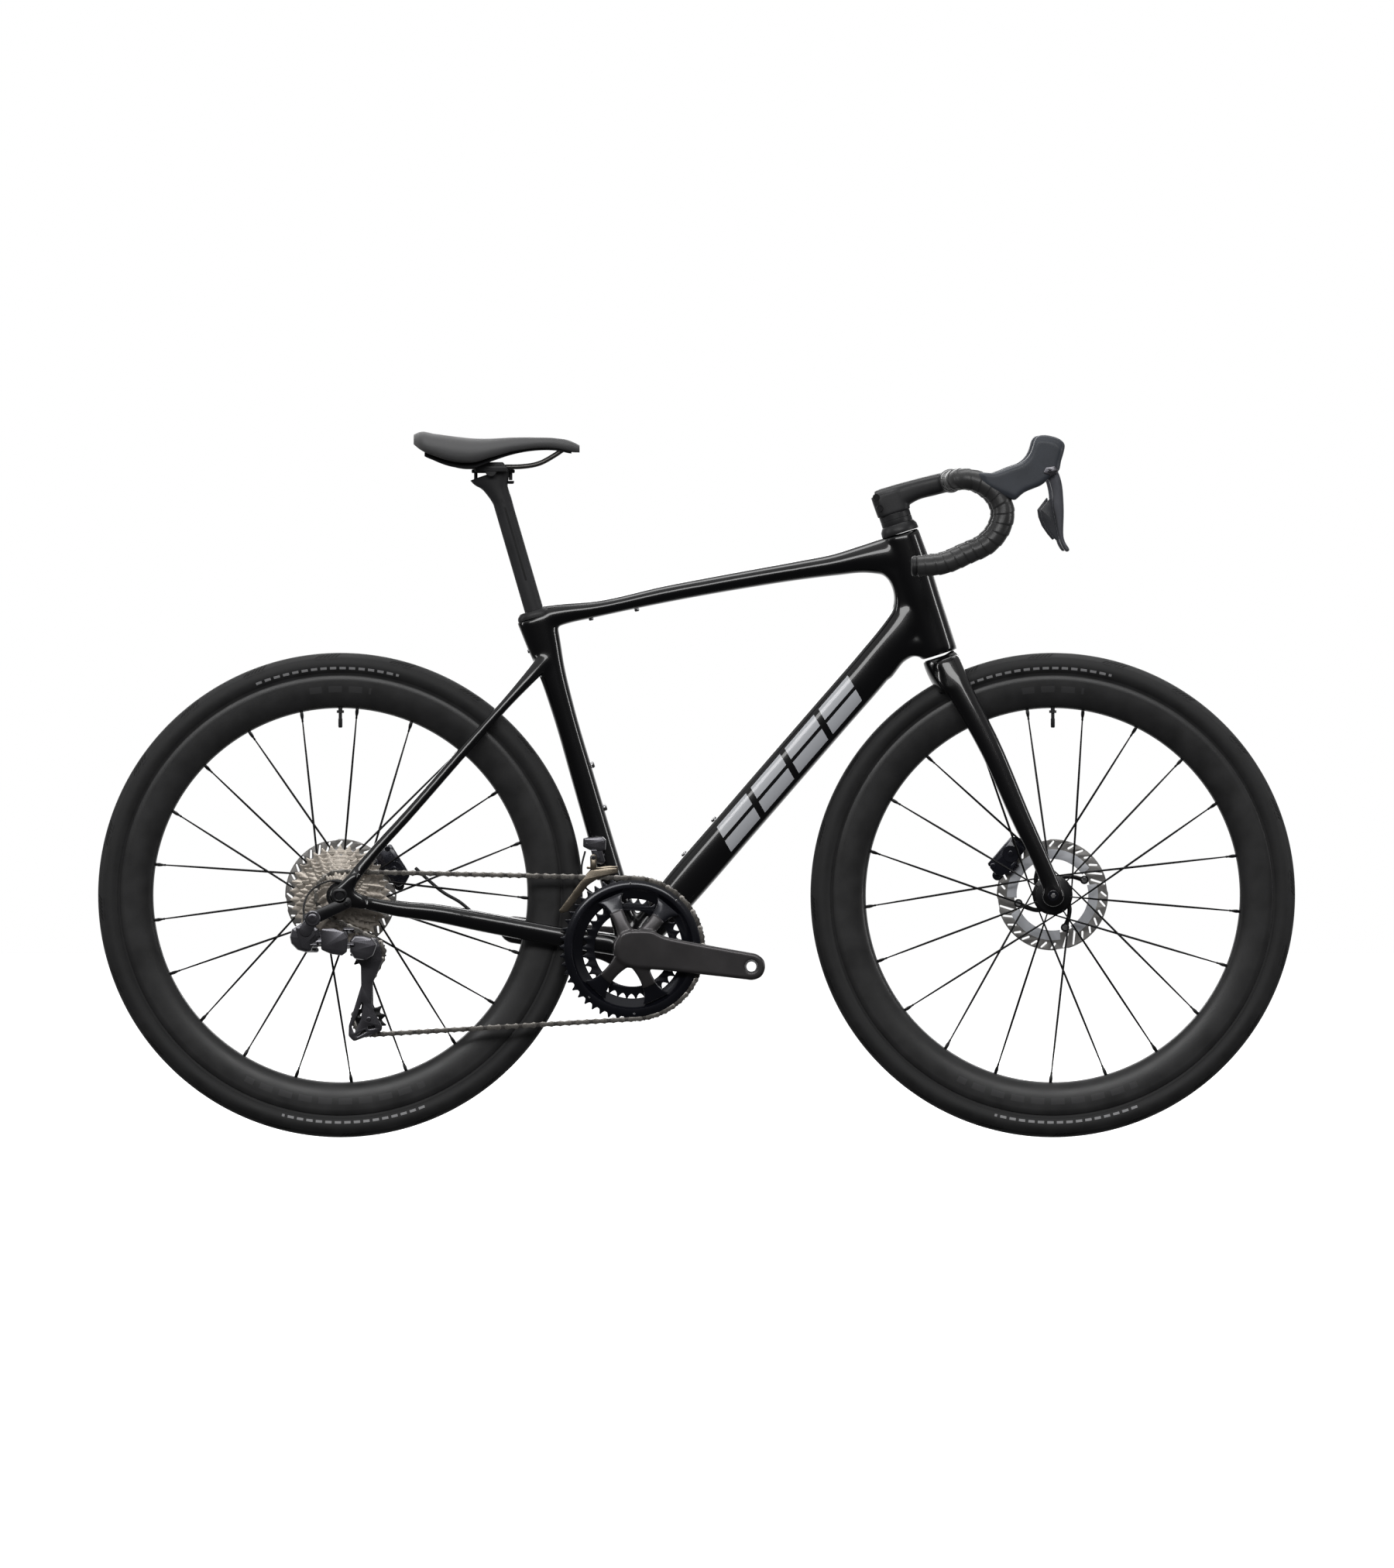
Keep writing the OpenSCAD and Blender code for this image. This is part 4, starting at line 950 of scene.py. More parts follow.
BAR_PATH = [
    (365, 0, 943), (365, 60, 943), (365.5, 120, 943), (367, 160, 943.5), (372, 186, 944.5),
    (384, 202, 945.5),
    (398, 205, 943.5), (414, 207, 936), (432, 207, 918.5), (439, 208, 900), (433, 209, 874),
    (416, 210, 853.5),
    (387, 211, 839), (351, 212, 824.5), (331, 212, 822), (312, 212, 821),
]
CASSETTE = [11, 12, 13, 14, 15, 17, 19, 21, 24, 27, 30, 34]


def rows_on(axis, rows):
    """Rows of distance, width and depth, placed on an axis."""
    return [list(axis(s)) + [w, h] for s, w, h in rows]


def in_plane(skin, c, degrees, y=0.0):
    """A skin turned in the side plane and moved to c."""
    a = math.radians(degrees)
    co, si = math.cos(a), math.sin(a)
    return placed(skin, Matrix(((co, 0, -si, c[0]), (0, 1, 0, y), (si, 0, co, c[1]), (0, 0, 0, 1))))


# ---- The chain's path -------------------------------------------------------


def pitch_radius(count):
    return PITCH / 2 / math.sin(math.pi / count)


LOOP = [
    (BB, pitch_radius(50), 1, RING_Y), (TENSION, pitch_radius(11), 1, CHAIN_Y),
    (GUIDE, pitch_radius(11), -1, CHAIN_Y), (REAR, pitch_radius(17), 1, CHAIN_Y),
]


def chain_run(i):
    """Angle and length of the straight run from wheel i to the next one."""
    a, b = LOOP[i], LOOP[(i + 1) % 4]
    v = b[0] - a[0]
    gain = b[2] * b[1] - a[2] * a[1]
    d = np.linalg.norm(v)
    return math.atan2(v[1], v[0]) + math.asin(gain / d), math.sqrt(d * d - gain * gain)


def chain_pins():
    """Every pin's place along the closed chain, and the angle of a valley on each wheel."""
    runs = [chain_run(i) for i in range(4)]
    arcs = [((w[2] * (runs[i - 1][0] - runs[i][0])) % (2 * math.pi)) * w[1] for i,
        w in enumerate(LOOP)]
    total = sum(arcs) + sum(r[1] for r in runs)
    count = 2 * round(total / PITCH / 2)
    step = total / count
    pins, valleys = [], {}
    for j in range(count):
        s, i = j * step, 0
        while True:
            if s < arcs[i]:
                c, r, way, y = LOOP[i]
                a = runs[i - 1][0] - way * s / r
                p = c + way * r * np.array([-math.sin(a), math.cos(a)])
                valleys.setdefault(i, math.degrees(math.atan2(*(p - c)[::-1])))
                pins.append([p[0], y, p[1]])
                break
            s -= arcs[i]
            if s < runs[i][1] or i == 3:
                c, r, way, y = LOOP[i]
                a = runs[i][0]
                f = s / runs[i][1]
                p = c + way * r * np.array([-math.sin(a), math.cos(a)]) + s * np.array(
                    [math.cos(a), math.sin(a)])
                pins.append([p[0], y * (1 - f) + LOOP[(i + 1) % 4][3] * f, p[1]])
                break
            s -= runs[i][1]
            i += 1
    return np.array(pins), valleys


PINS, VALLEY = chain_pins()


def link_outline(r, waist):
    """A chain plate's waisted outline between two pins a pitch apart."""
    left = [turn((0, 0), r, a) for a in np.linspace(55, 305, 9)]
    right = [turn((PITCH, 0), r, a) for a in np.linspace(-125, 125, 9)]
    middle = PITCH / 2
    return left + [np.array([middle, -waist])] + right + [np.array([middle, waist])]


def on_links(skin, which):
    """Copies of a skin, one along each chosen link. Its X runs from pin to pin."""
    v, f = skin
    v = np.asarray(v)
    out = []
    for j in which:
        a, b = PINS[j], PINS[(j + 1) % len(PINS)]
        x = (b - a) / np.linalg.norm(b - a)
        z = np.cross(x, [0, 1, 0])
        z /= np.linalg.norm(z)
        y = np.cross(z, x)
        out.append((a + v @ np.stack([x, y, z]), f))
    return joined(*out)


# ---- Frame and fork ---------------------------------------------------------


def build_frame():
    """The moulded frame: one gloss skin with filled junctions."""
    stays = pair(loft(CHAINSTAY, 5, 28, dome=4)), pair(loft(SEATSTAY, 5, 28, dome=4))
    eye = smooth_loop([
        REAR + np.array(p)
            for p in ((-15, -2), (-12, 10), (-2, 16), (14, 30), (24, 34), (26, 26), (22, 8),
                (36, -2), (38, -18),
                                     (18, -17), (4, -16), (-9, -13))
    ], 6)
    dropouts = [plate_skin([eye], *y, bevel=1.2) for y in ((62, 77), (-77, -66.5))]
    skins = [
        loft(TOP_TUBE), loft(DOWN_TUBE, power=2.6), loft(HEAD_GUSSET, dome=6), loft(THROAT, dome=8),
        plate_skin([smooth_loop(HEAD_WEB, 4)], -19.5, 19.5, bevel=8),
        loft(rows_on(along_steering, HEAD_TUBE)), loft(rows_on(along_seat, SEAT_TUBE)),
        lathe([(25, -43.2), (25, 43.2)], BB, soft=1.5), *stays, *dropouts,
    ]
    return even_normals(blended("frame_shell", skins, 1.7, 20), 10)


def build_fork():
    """The fork as one gloss skin, and the axle end in its tip."""
    legs = pair(loft(FORK_LEG, 5, 30, power=2.2, dome=3))
    ends = pair(lathe([(16, 50), (16, 61.5)], FRONT, soft=2))
    crown = loft(rows_on(along_steering, FORK_CROWN), 4, 40)
    crest = loft([(352, 0, 690, 26, 20), (366, 0, 668, 30, 16), (374, 0, 650, 30, 7)], 4, 36)
    shell = even_normals(blended("fork_shell", [legs, ends, crown, crest], 1.6, 20), 10)
    cap = turned([(0, -62.2), (7.2, -62.2), (7.8, -61.6), (7.8, -58)], FRONT, 40)
    hexagon = lathe([(3.7, -63.4), (3.7, -60)], FRONT, 6, 0.3)
    return shell, make("axle_end_cap", cap), make("axle_end_socket", hexagon)


def build_seat_clamp():
    """The capped collar round the post."""
    collar = loft([list(along_seat(495)) + [18.4, 26.5], list(along_seat(500)) + [18.2, 25.5],
            list(along_seat(504.5)) + [16.4, 21.5]],
                  2, 40, dome=1.5)
    return make("seat_collar", collar)


def build_bolts():
    """The small fixing bolts on the tubes."""
    across = math.radians(49.4)
    up = np.array([-math.sin(across), 0, math.cos(across)])
    forward = np.array([math.cos(SEAT_TILT), 0, math.sin(SEAT_TILT)])
    skins = []
    for x, z in ((5, 388), (47.5, 437.5)):
        skins.append(bolt_skin(np.array([x, 0, z]) + up * 28.5, up, 5, 3.6))
    for s in (205, 269):
        skins.append(bolt_skin(np.array(along_seat(s)) + forward * 16.8, forward, 5, 4.6))
    for x, z in ((-151.8, 746.5), (-86.2, 759.5)):
        skins.append(bolt_skin((x, 0, z), (0.2, 0, -0.98), 3.5, 4.2))
    for s in (451, 476):
        skins.append(bolt_skin(np.array(along_seat(s)) - forward * 20.5, -forward, 3.2, 5.0))
    return make("fixing_bolts", joined(*skins))


# ---- Wheels -----------------------------------------------------------------


def build_tyre(which, c):
    """A round tyre with a raised tread cap."""
    middle, radius = TYRE_R - 17.0, 16.75
    outline = []
    for degrees in np.arange(-134, 135, 4):
        a = math.radians(degrees)
        lift = 0.28 if abs(degrees) < 58 else 0.0
        outline.append((middle + (radius + lift) * math.cos(a), (radius + lift) * math.sin(a)))
    outline += [(RIM_R - 3, 12), (RIM_R - 3, -12)]
    obj = make(which + "_tyre_casing", turned(outline, c, 240, closed=True), 60)
    return recentre(obj, c)


def build_tread(which, c):
    """Slanted sipes on both shoulders of the tread, in groups."""
    sizes = bpy.context.scene.road_bicycle_sizes
    middle, radius = TYRE_R - 17.0, 16.95
    verts, faces = [], []

    def bar(a0, t0, a1, t1, wide):
        """A thin raised bar on the tyre from one wheel angle and shoulder angle to another."""
        base = len(verts)
        for k in range(5):
            f = k / 4
            a, t = a0 + (a1 - a0) * f, t0 + (t1 - t0) * f
            for da, r in ((-wide, radius), (-wide, radius + 0.24), (wide, radius + 0.24),
                (wide, radius)):
                ring = middle + r * math.cos(t)
                verts.append((c[0] + ring * math.cos(a + da), r * math.sin(t),
                        c[1] + ring * math.sin(a + da)))
            if k:
                faces.extend(
                    [[base + 4 * (k - 1) + i, base + 4 * (k - 1) + (i + 1) % 4,
                            base + 4 * k + (i + 1) % 4, base + 4 * k + i]
                              for i in range(4)])
        faces.extend([[base, base + 3, base + 2, base + 1], [base + 16 + i for i in range(4)]])

    groups = sizes.tread_groups
    for g in range(groups):
        for side in (-1, 1):
            start = 2 * math.pi * (g + (0.5 if side > 0 else 0)) / groups
            for k in range(6):
                a = start + k * 0.0165
                bar(a, side * math.radians(24 + 2 * k), a + 0.020, side * math.radians(50), 0.0042)
            for k in range(2):
                bar(start + 0.012 + k * 0.055, side * math.radians(60), start + 0.045 + k * 0.055,
                    side * math.radians(60.5), 0.0016)
    obj = make(which + "_tyre_tread", (verts, faces), 60)
    return recentre(obj, c)


def build_rim(which, c):
    """A deep rounded rim with a hooked edge."""
    bed = RIM_R - 47.5
    side = [(bed + 39.5 * f, 14 * math.sqrt(1 - (1 - f) ** 2.4)) for f in np.linspace(0, 1, 18)]
    side += [(RIM_R - 1.2, 14.0), (RIM_R, 13.2), (RIM_R, 11.6), (RIM_R - 6, 11.4)]
    outline = side + [(r, -y) for r, y in side[::-1][:-1]]
    obj = make(which + "_rim_shell", turned(outline, c, 240, closed=True), 50)
    return recentre(obj, c)


def spoke_ends(c, phase, radial_k, cross_y, radial_y):
    """The hub end and rim end of each spoke; every third one is radial."""
    for k in range(21):
        kind = (k - radial_k) % 3
        a = -(phase + k * 360 / 21)
        hub_angle = a + (0, -80, 80)[kind]
        y = radial_y if kind == 0 else cross_y + (1.4 if kind == 1 else -1.4)
        r = 22 if kind == 0 else 27
        h, e = turn(c, r, hub_angle), turn(c, RIM_R - 47.5, a)
        yield np.array([h[0], y, h[1]]), np.array([e[0], 0, e[1]])


def build_spokes(which, ends):
    """Bladed spokes with round ends, each in its nipple."""
    sizes = bpy.context.scene.road_bicycle_sizes
    flat, thin = sizes.spoke_width / MM / 2, sizes.spoke_thickness / MM / 2
    skins, nipples = [], []
    for hub_end, rim_end in ends:
        d = rim_end - hub_end
        length = np.linalg.norm(d)
        rows = []
        for f, w, t in ((0, 1, 1), (0.04, 1, 1), (0.08, flat, thin), (0.9, flat, thin),
            (0.94, 1, 1), (1.0, 1, 1)):
            rows.append([*(hub_end + d * f), w, t])
        skins.append(loft(rows, 12, 8, 2, ref=np.cross(d / length, [0, 1, 0])))
        way = d / length
        nipples.append(loft([[*(rim_end - way * 14), 1.6, 1.6], [*(rim_end - way * 9), 1.7, 1.7],
                             [*(rim_end - way * 8), 2.1, 2.1], [*(rim_end + way * 2), 2.2, 2.2]], 3,
                8, 2.6, dome=0.4))
        nipples.append(loft([[*(hub_end - way * 2.5), 1.7, 1.7], [*(hub_end + way * 1), 1.2, 1.2]],
                2, 8, 2))
    return make(which + "_bladed_spokes", joined(*skins, *nipples), 50)


def build_hub(which, c):
    """The hub shell with its two flanges."""
    if which == "front":
        outline = [(9.8, -49), (9.8, -39), (13, -38), (24.5, -36.4), (24.5, -31.6), (15, -29),
            (12.2, -20), (12.2, 8), (15, 16),
                   (28.8, 19.6), (28.8, 24.4), (17, 27), (17, 33.8), (10, 34.2), (10, 49)]
    else:
        outline = [(9.6, -70), (9.6, -21), (15, -20.5), (28.8, -18.4), (28.8, -13.6), (16.5, -9),
            (14.5, 0), (14.5, 20), (24.5, 27.8),
                   (24.5, 32.2), (17, 35), (17, 50.8), (10, 51.2), (10, 70)]
    return make(which + "_hub_shell",
        turned([(6.3, outline[0][1])] + outline + [(6.3, outline[-1][1])], c, 96, closed=True), 40)


def build_rotor(which, c):
    """Steel braking track, alloy heat ring and black spider, as three pieces."""
    y = ROTOR_Y[which]
    slots = []
    for quarter in range(4):
        for k, reach in enumerate((60, 60, 68.5, 70.5, 69.5, 70.5, 69.5, 70.5)):
            a = quarter * 90 + 12 + k * 11
            slots.append(strip(turn(c, reach, a + 1 + (76.5 - reach) * 0.5), turn(c, 76.6, a), 1.45,
                    1.25, steps=4))
    edge = [turn(c, 80 if (k % 30) > 3 else 78.6, k * 3 + 5) for k in range(120)]
    inner = circle(c, 55, 96)
    track = make(which + "_rotor_track", plate_skin([edge, inner, *slots], y - 0.9, y + 0.9, 0.15))
    cooling = []
    for a, b in ((34, 100), (118, 185), (203, 282), (300, 376)):
        outer = [turn(c, 65.5, t) for t in np.linspace(a + 2, b - 2, 16)]
        inside = [turn(c, 51.5, t) for t in np.linspace(b, a, 16)]
        cooling.append(plate_skin([rounded(outer + inside, 0.5, 1)], y - 1.25, y + 1.25, 0.35))
    fins = make(which + "_rotor_cooling_ring", joined(*cooling))
    arms = []
    for a in ROTOR_RIVETS:
        curve = [turn(c, 20, a + 44), turn(c, 29, a + 34), turn(c, 39, a + 16), turn(c, 50, a)]
        rows = [[p[0], y, p[1], 1.5, h] for p, h in zip(curve, (4.6, 3.6, 3.1, 3.6))]
        arms.append(loft(rows, 2, 16, 3, dome=1))
        arms.append(lathe([(6.2, y - 1.6), (6.2, y + 1.6)], turn(c, 50.5, a), 28, 0.5))
    hub_plate = turned([(10.2, y - 0.9), (26, y - 0.9), (27, y), (26, y + 1.6), (20, y + 2.6),
            (18, y + 4.4), (10.2, y + 4.4)], c, 72, closed=True)
    spider = make(which + "_rotor_spider", joined(*arms, hub_plate))
    rivets = [lathe([(4.0, y - 2.0), (4.0, y + 2.0)], turn(c, 50.5, a), 24, 0.5)
        for a in ROTOR_RIVETS]
    return track, fins, spider, make(which + "_rotor_rivets", joined(*rivets))


def build_valve(which, c):
    """Valve stem with its locknut and cap."""
    top = c[1] + RIM_R - 47.5
    outline = [(2.2, top - 28), (3.0, top - 26.5), (3.0, top - 15), (2.5, top - 14.5),
        (2.5, top - 7), (5.2, top - 6.8), (5.2, top - 3),
               (3, top - 2.8), (3, top + 3)]
    v, f = turned([(0, outline[0][1])] + outline + [(0, top + 3)], (0, 0), 24)
    upright = np.stack([v[:, 0] + c[0], -v[:, 2], v[:, 1]], 1)
    return make(which + "_valve_stem", (upright, f))


# ---- Drivetrain -------------------------------------------------------------


def build_chain():
    """Waisted inner and outer plates, rollers and pins on every link of the path."""
    inner = [plate_skin([link_outline(4.05, 2.9)], *y, bevel=0.15)
        for y in ((-1.95, -1.15), (1.15, 1.95))]
    outer = [plate_skin([link_outline(4.15, 2.7)], *y, bevel=0.2)
        for y in ((-2.7, -2.0), (2.0, 2.7))]
    roller = lathe([(3.8, -1.1), (3.8, 1.1)], (0, 0), 16, 0.3)
    pin = lathe([(1.75, -2.95), (1.75, 2.95)], (0, 0), 14, 0.3)
    every = range(len(PINS))
    dark = make("chain_inner_links",
        joined(on_links(joined(*inner), every[1::2]), on_links(roller, every)))
    bright = make("chain_outer_links",
        joined(on_links(joined(*outer), every[0::2]), on_links(pin, every)))
    return dark, bright


def build_cassette():
    """Twelve sprockets; the larger ones are cut away between their arms."""
    skins = []
    for k, count in enumerate(CASSETTE):
        y = CHAIN_Y + (k - 5) * SPROCKET_GAP
        root = pitch_radius(count) - 9
        holes = [circle(REAR, 17.2, 48)]
        if root > 26:
            arms = 6 if count < 27 else 9
            for a in range(arms):
                t = VALLEY[3] + 360 * a / arms + k * 9
                wide = 150 / arms
                outer = [turn(REAR, root - 1, t + d)
                    for d in np.linspace(-wide * 0.42, wide * 0.42, 6)]
                inside = [turn(REAR, 23.5, t + d + 8)
                    for d in np.linspace(wide * 0.4, -wide * 0.4, 4)]
                holes.append(rounded(outer + inside, 1.2, 2))
        skins.append(plate_skin([teeth(REAR, count, VALLEY[3])] + holes, y - 0.8, y + 0.8, 0.18))
        pins = max(3, count // 5)
        if k:
            skins += [lathe([(1.6, y + 0.8), (1.6, y + SPROCKET_GAP - 0.8)],
                    turn(REAR, 20.3, 360 * a / pins + 11 * k), 10, 0.1)
                      for a in range(pins) if k < 11]
    return recentre(make("sprocket_stack", joined(*skins)), REAR)


def build_freehub():
    """The freehub, its spacers and the notched lockring."""
    body = turned([(10.2, -65.4), (19.4, -65.4), (19.4, -64.4), (17, -64.2), (17, -20.6),
            (10.2, -20.6)], REAR, 72, closed=True)
    spacers = []
    for k in range(11):
        y = CHAIN_Y + (k - 5) * SPROCKET_GAP
        spacers.append(
            turned([(17, y + 0.8), (19.2, y + 0.8), (19.2, y + SPROCKET_GAP - 0.8),
                    (17, y + SPROCKET_GAP - 0.8)], REAR, 60, closed=True))
    notches = [lathe([(1.1, -65.9), (1.1, -65.3)], turn(REAR, 15.8, a), 8, 0.2)
        for a in range(0, 360, 20)]
    return make("freehub_and_lockring", joined(body, *spacers, *notches))


def build_rings():
    """The large ring with its hollow crown, and the small ring."""
    outline = teeth(BB, 50, VALLEY[0])
    blade = plate_skin([outline, circle(BB, 84, 90)], RING_Y - 0.95, RING_Y + 0.95, 0.25)
    crown = turned([(98.4, -48.6), (98.2, -50.4), (95.5, -52.2), (91, -53.1), (87.4, -52.9),
            (85.6, -51.4), (84.4, -50.0), (78, -47.0),
                    (72.6, -44.9), (71.6, -44.2), (72.4, -43.5), (79, -45.2), (86, -48.3)], BB, 144,
        closed=True)
    outer = recentre(make("large_chainring", joined(blade, crown)), BB)
    rivets = [lathe([(1.5, -53.2), (1.5, -50)], turn(BB, 93.5, a), 16, 0.3)
        for a in (91.8, 47.6, 228.5, 271.5)]
    dots = make("chainring_rivets", joined(*rivets))
    small = plate_skin([teeth(BB, 34, VALLEY[0]), circle(BB, 54.5, 80)], INNER_RING_Y - 0.9,
        INNER_RING_Y + 0.9, 0.25)
    bosses = [lathe([(5.4, INNER_RING_Y - 2.6), (5.4, INNER_RING_Y + 0.9)], turn(BB, 57, a), 24,
            0.4) for a in SPIDER]
    return outer, dots, recentre(make("small_chainring", joined(small, *bosses)), BB)


def crank_point(u, v=0.0):
    """The point u along the right arm and v across it."""
    c, s = math.cos(CRANK_DIP), math.sin(CRANK_DIP)
    return np.array([BB[0] + u * c + v * s, BB[1] - u * s + v * c])


def crank_outline(sign=1):
    """The arm's outline, from its broad root to its round eye."""
    top = [(-22, 14), (-12, 24), (4, 28), (24, 30), (36, 26.5), (50, 23.8), (90, 21.8), (135, 20.4),
        (165, 19.6)]
    eye = [(178, 18.6), (188.5, 12), (192.2, 0), (188.5, -12), (178, -18.6)]
    points = top + eye + [(165, -19.6), (135, -20.6), (90, -22.3), (50, -24), (30, -25.5), (6, -27),
        (-12, -24), (-22, -14)]
    out = smooth_loop([crank_point(u, v) for u, v in points], 4)
    return out if sign > 0 else [2 * BB - p for p in out]


def build_cranks():
    """Both arms, the black spider that carries the rings, and the steel of the pedal eyes."""
    eye = circle(crank_point(CRANK_LENGTH), 7.1, 40)
    arm = plate_skin([crank_outline(), eye], -70, -58.5, 3.4)
    hub = lathe([(28, -68.8), (28, -57)], BB, 64, 3.4)
    boss = lathe([(22, -59), (22, -44.6)], BB, 64, 1.2)
    limbs = []
    for a in SPIDER:
        rows = [(4, -63, 5.6, 17), (20, -63, 5.5, 14), (34, -62.4, 5.0, 10.6),
            (46, -61.2, 4.4, 9.6), (58, -59.6, 3.6, 10.4)]
        limbs.append(loft([[turn(BB, r, a)[0], y, turn(BB, r, a)[1], w, h] for r, y, w, h in rows],
                3, 32, 3.2, dome=1.2))
    right = even_normals(blended("right_crank", [arm, hub, boss, *limbs], 1.0, 7), 4)
    spider = []
    for a in SPIDER:
        rows = [(44, -59.6, 3.6, 8.6), (56, -58.2, 3.8, 10.4), (64, -56.0, 3.4, 11.6),
            (72, -53.8, 3.0, 14.5), (79, -52.0, 2.4, 20)]
        spider.append(loft([[turn(BB, r, a)[0], y, turn(BB, r, a)[1], w, h] for r, y, w, h in rows],
                3, 32, 2.8, dome=1.5))
    spider += [lathe([(3.6, -55), (3.6, INNER_RING_Y + 1.0)], turn(BB, 57, a), 20, 0.3)
        for a in SPIDER]
    arms = make("crank_spider", joined(*spider), 40)
    end = circle(2 * BB - crank_point(CRANK_LENGTH), 7.1, 40)
    left_arm = plate_skin([crank_outline(-1), end], 58, 70, 3.2)
    cap = lathe([(21, 44.6), (21, 58.5)], BB, 64, 1.0)
    clamp = [bolt_skin((BB[0] - 20.5, y, BB[1] + 7), (-0.9, 0, 0.42), 3.2, 3.0) for y in (50, 55)]
    preload = lathe([(11, 69), (11, 70.8)], BB, 40, 0.6)
    left = make("left_crank", joined(left_arm, cap, preload, *clamp), 28)
    rings = []
    for at, y in ((crank_point(CRANK_LENGTH), -70.4), (2 * BB - crank_point(CRANK_LENGTH), 69.4)):
        rings.append(turned([(7.15, y), (9.4, y), (9.7, y + 0.4), (9.4, y + 1), (7.15, y + 1)], at,
                40, closed=True))
    return right, arms, left, make("pedal_eye_rims", joined(*rings))


def build_front_mech():
    """The front derailleur's motor, link and swinging bronze cage."""
    motor = plate_skin(
        [rounded([(-162.6, 430.7), (-135.1, 432.9), (-129.8, 428), (-130.5, 413), (-140, 411),
                    (-153, 413), (-162.9, 418)], 3)],
                       -40, -18, 2.6)
    frame_side = plate_skin(
        [rounded([(-152, 414), (-136, 414), (-131, 397), (-134, 392), (-147, 396)], 3)], -38.4, -17,
        1.6)
    link = plate_skin(
        [rounded([(-152, 413.5), (-143, 413.8), (-138.4, 402.5), (-140.2, 396.6), (-144.5, 397.5),
                    (-149, 404)], 1.6)],
                      -42.2, -38.6, 0.9)
    rod = lathe([(3, -56), (3, -30)], (-148, 402.5), 24, 0.6)
    screws = [bolt_skin((x, -40, z), (0, -1, 0), 1.5, 1.0) for x, z in ((-158, 422), (-134, 424))]
    clamp = bolt_skin((-138, -20, 404), (0.9, 0, 0.25), 4, 7)
    body = make("front_mech_motor", joined(motor, frame_side, link, rod, *screws, clamp))
    cage = [(-151.6, 384.4), (-127.4, 387.6), (-114.2, 387.2), (-112.6, 380.9), (-123, 378.4),
        (-138, 374.6), (-157.5, 361.8), (-185, 325.8),
            (-194.7, 322.4), (-197.6, 326.3), (-163.4, 371.1)]
    outer = plate_skin([rounded(cage, 1.5)], -53.3, -52.1, 0.3)
    inner = plate_skin([rounded([(x + 1, z + (3 if z > 370 else 0)) for x, z in cage], 1.5)], -42.9,
        -41.9, 0.3)
    tail = plate_skin([circle((-193.6, 325.0), 2.2, 16)], -53.2, -42, 0.2)
    bridge = plate_skin([strip((-156, 388), (-132, 386.5), 1.8)], -53.2, -42, 0.3)
    lug = plate_skin([strip((-148, 402.5), (-148, 389), 4.8, 4.4), circle((-148, 402.5), 3.08, 24)],
        -54.5, -49.2, 0.5)
    return body, make("front_mech_cage", joined(outer, inner, tail, bridge, lug))


def leaned(skin, pin):
    """A skin drawn about a link pin, leaned out with the links."""
    m = Matrix.Translation(Vector(pin)) @ Matrix.Rotation(math.radians(-25), 4, "X")
    return placed(skin, m)


LINK_COVER = [(-538, 301.5), (-520, 302), (-505, 297), (-499.5, 288), (-501, 268), (-508, 262.5),
    (-524, 265), (-538, 271)]
OUTER_PIN, INNER_PIN, LINK = (-546, -81, 288), (-546, -66, 281), 42.0


def link_skin(w, h):
    """A swinging link, drawn with its pins along Z at x = 0 and LINK."""
    outline = strip((0, 0), (LINK, 0), w, steps=14)
    loops = [[(p[0], p[1]) for p in outline]]
    v, f = plate_skin(loops, -h, h, 1.2)
    return np.stack([v[:, 0], v[:, 2], -v[:, 1]], 1), f


